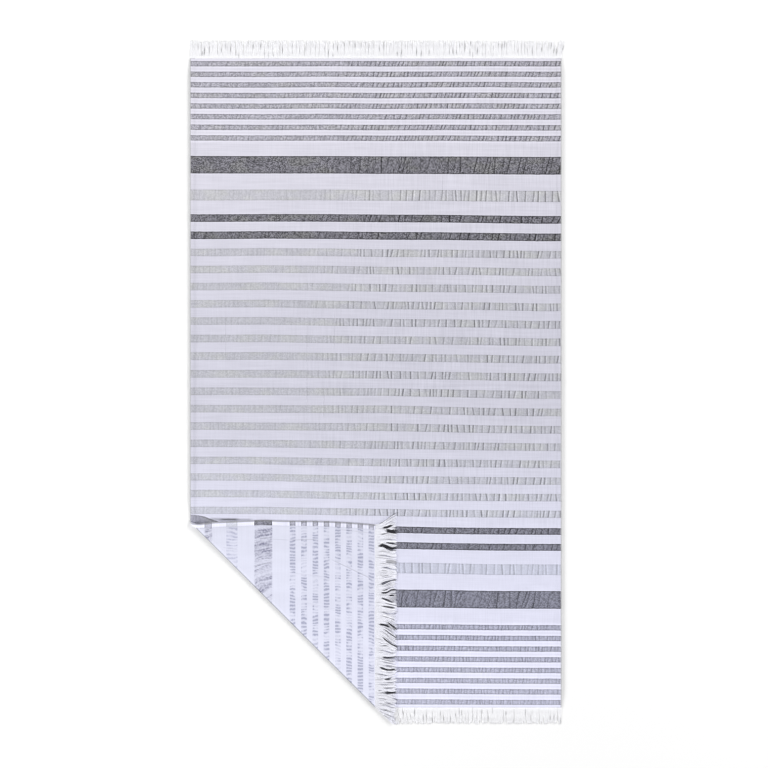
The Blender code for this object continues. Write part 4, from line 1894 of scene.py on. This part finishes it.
@dataclass
class Studio:
    """A pale ground, soft light and the camera straight above."""

    view_width: float = 2.1005
    middle: Tuple[float, float] = (0.0226, -0.0048)
    lens: float = 100.0
    sensor: float = 36.0
    ground_half: float = 30.0
    ground_drop: float = 0.0001
    far: float = 100.0
    sky: float = 0.40
    panels: Tuple[Panel, ...] = (
        Panel("left_panel", (-5.3, -1.1, 2.50), 2.3, 318.0),
        Panel("right_panel", (5.3, -1.1, 2.50), 2.3, 122.0),
        Panel("far_panel", (5.6, 5.6, 4.20), 3.4, 478.0),
    )

    def ground(self) -> None:
        """The ground, a hair under the towel."""
        mesh = bmesh.new()
        bmesh.ops.create_grid(mesh, x_segments=8, y_segments=8, size=self.ground_half)
        bmesh.ops.translate(mesh, verts=mesh.verts[:], vec=(0.0, 0.0, -self.ground_drop))
        data = bpy.data.meshes.new("pale_ground")
        mesh.to_mesh(data)
        mesh.free()
        data.materials.append(GroundFinish().material())
        make_object("pale_ground", data)

    def light(self, panel: Panel) -> None:
        """Add one soft light, turned to the towel.

        Args:
            panel: the light.
        """
        lamp = bpy.data.lights.new(panel.name, "AREA")
        lamp.size = panel.size
        lamp.energy = panel.power
        holder = bpy.data.objects.new(panel.name, lamp)
        holder.location = panel.place
        holder.rotation_euler = Vector(panel.place).to_track_quat("Z", "Y").to_euler()
        bpy.context.scene.collection.objects.link(holder)

    def sky_light(self) -> None:
        """An even white sky."""
        world = bpy.data.worlds.new("sky")
        bpy.context.scene.world = world
        world.use_nodes = True
        sky = world.node_tree.nodes["Background"]
        sky.inputs["Color"].default_value = (1.0, 1.0, 1.0, 1.0)
        sky.inputs["Strength"].default_value = self.sky

    def camera(self) -> None:
        """The camera, straight above, framing the towel as it was seen."""
        lens = bpy.data.cameras.new("camera")
        lens.lens = self.lens
        lens.sensor_width = self.sensor
        lens.clip_end = self.far
        holder = bpy.data.objects.new("camera", lens)
        holder.location = (*self.middle, self.view_width * self.lens / self.sensor)
        bpy.context.scene.collection.objects.link(holder)
        bpy.context.scene.camera = holder

    def build(self) -> None:
        """Set up the ground, the lights and the camera."""
        self.ground()
        self.sky_light()
        for panel in self.panels:
            self.light(panel)
        self.camera()
        bpy.context.scene.view_settings.view_transform = "Standard"


# ---- putting it together ---------------------------------------------------------------------


PARTED_AT = 0.046  # X at which the fold parts the bottom fringe into its two runs


def fringes(lie: TowelLie) -> List[Tuple[Fringe, str]]:
    """The runs of fringe, each with the CAD node that it stands for.

    Args:
        lie: how the towel lies.

    Returns:
        Each run and its node's name.
    """
    size = lie.size
    top = Fringe("towel_fringe_top", lie, -size.half, size.half, size.top, 1, 0.0510, seed=3)
    top.flare = ((-0.508, -0.002), (-0.470, 0.0), (0.450, 0.0), (0.508, 0.011))
    bottom = Fringe("towel_fringe_bottom", lie, PARTED_AT, size.half, size.bottom, -1, 0.0470, seed=5)
    bottom.flare = ((PARTED_AT, 0.012), (0.130, 0.0))
    bottom.stack, bottom.shadow = 0.0003, 0.60
    folded = Fringe(
        "towel_fringe_folded", lie, -size.half, PARTED_AT, size.bottom, -1, 0.0605, seed=8,
        spacing=0.0013, radius=0.00112, steps=14, lock_size=(3, 8), gather=(0.04, 0.30), sway=0.0007,
        curl=0.0006, shortfall=0.0060, stack=0.0012, loft=-0.0035, gaps=0.50, shadow=0.48,
        ticks=(0.15, 0.70), flare=((0.000, 0.0), (PARTED_AT, 0.012)),
        shorter=((-0.020, 0.0), (0.030, 0.0125)), partings=FLAP_PARTINGS,
        crowding=((0.000, -0.5080), (0.060, -0.4944), (1.000, PARTED_AT)),
    )
    return [(top, "fringe_top"), (bottom, "fringe_bottom"), (folded, "fringe_folded")]


def main() -> None:
    """Build the towel, dress it and set up the studio."""
    logging.basicConfig(level=logging.INFO, format="%(name)s: %(message)s")
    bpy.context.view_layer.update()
    lie = TowelLie()
    chart = StripeChart()
    cloth = Cloth(lie, chart, Creases(lie.size, chart)).build()
    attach(cloth, BODY)
    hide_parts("cloth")
    LOG.info("%s: %d faces", cloth.name, len(cloth.data.polygons))
    yarn = YarnFinish().material()
    # The folded run's yarn is a little darker and bluer, and darker still near its root.
    darker_yarn = YarnFinish("fringe_yarn_folded", (0.800, 0.802, 0.867), root_level=0.93).material()
    for fringe, node in fringes(lie):
        piece = fringe.build(darker_yarn if fringe.partings else yarn)
        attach(piece, BODY)
        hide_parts(node)
        LOG.info("%s: %d faces", piece.name, len(piece.data.polygons))
    Studio().build()


if __name__ == "__main__":
    main()
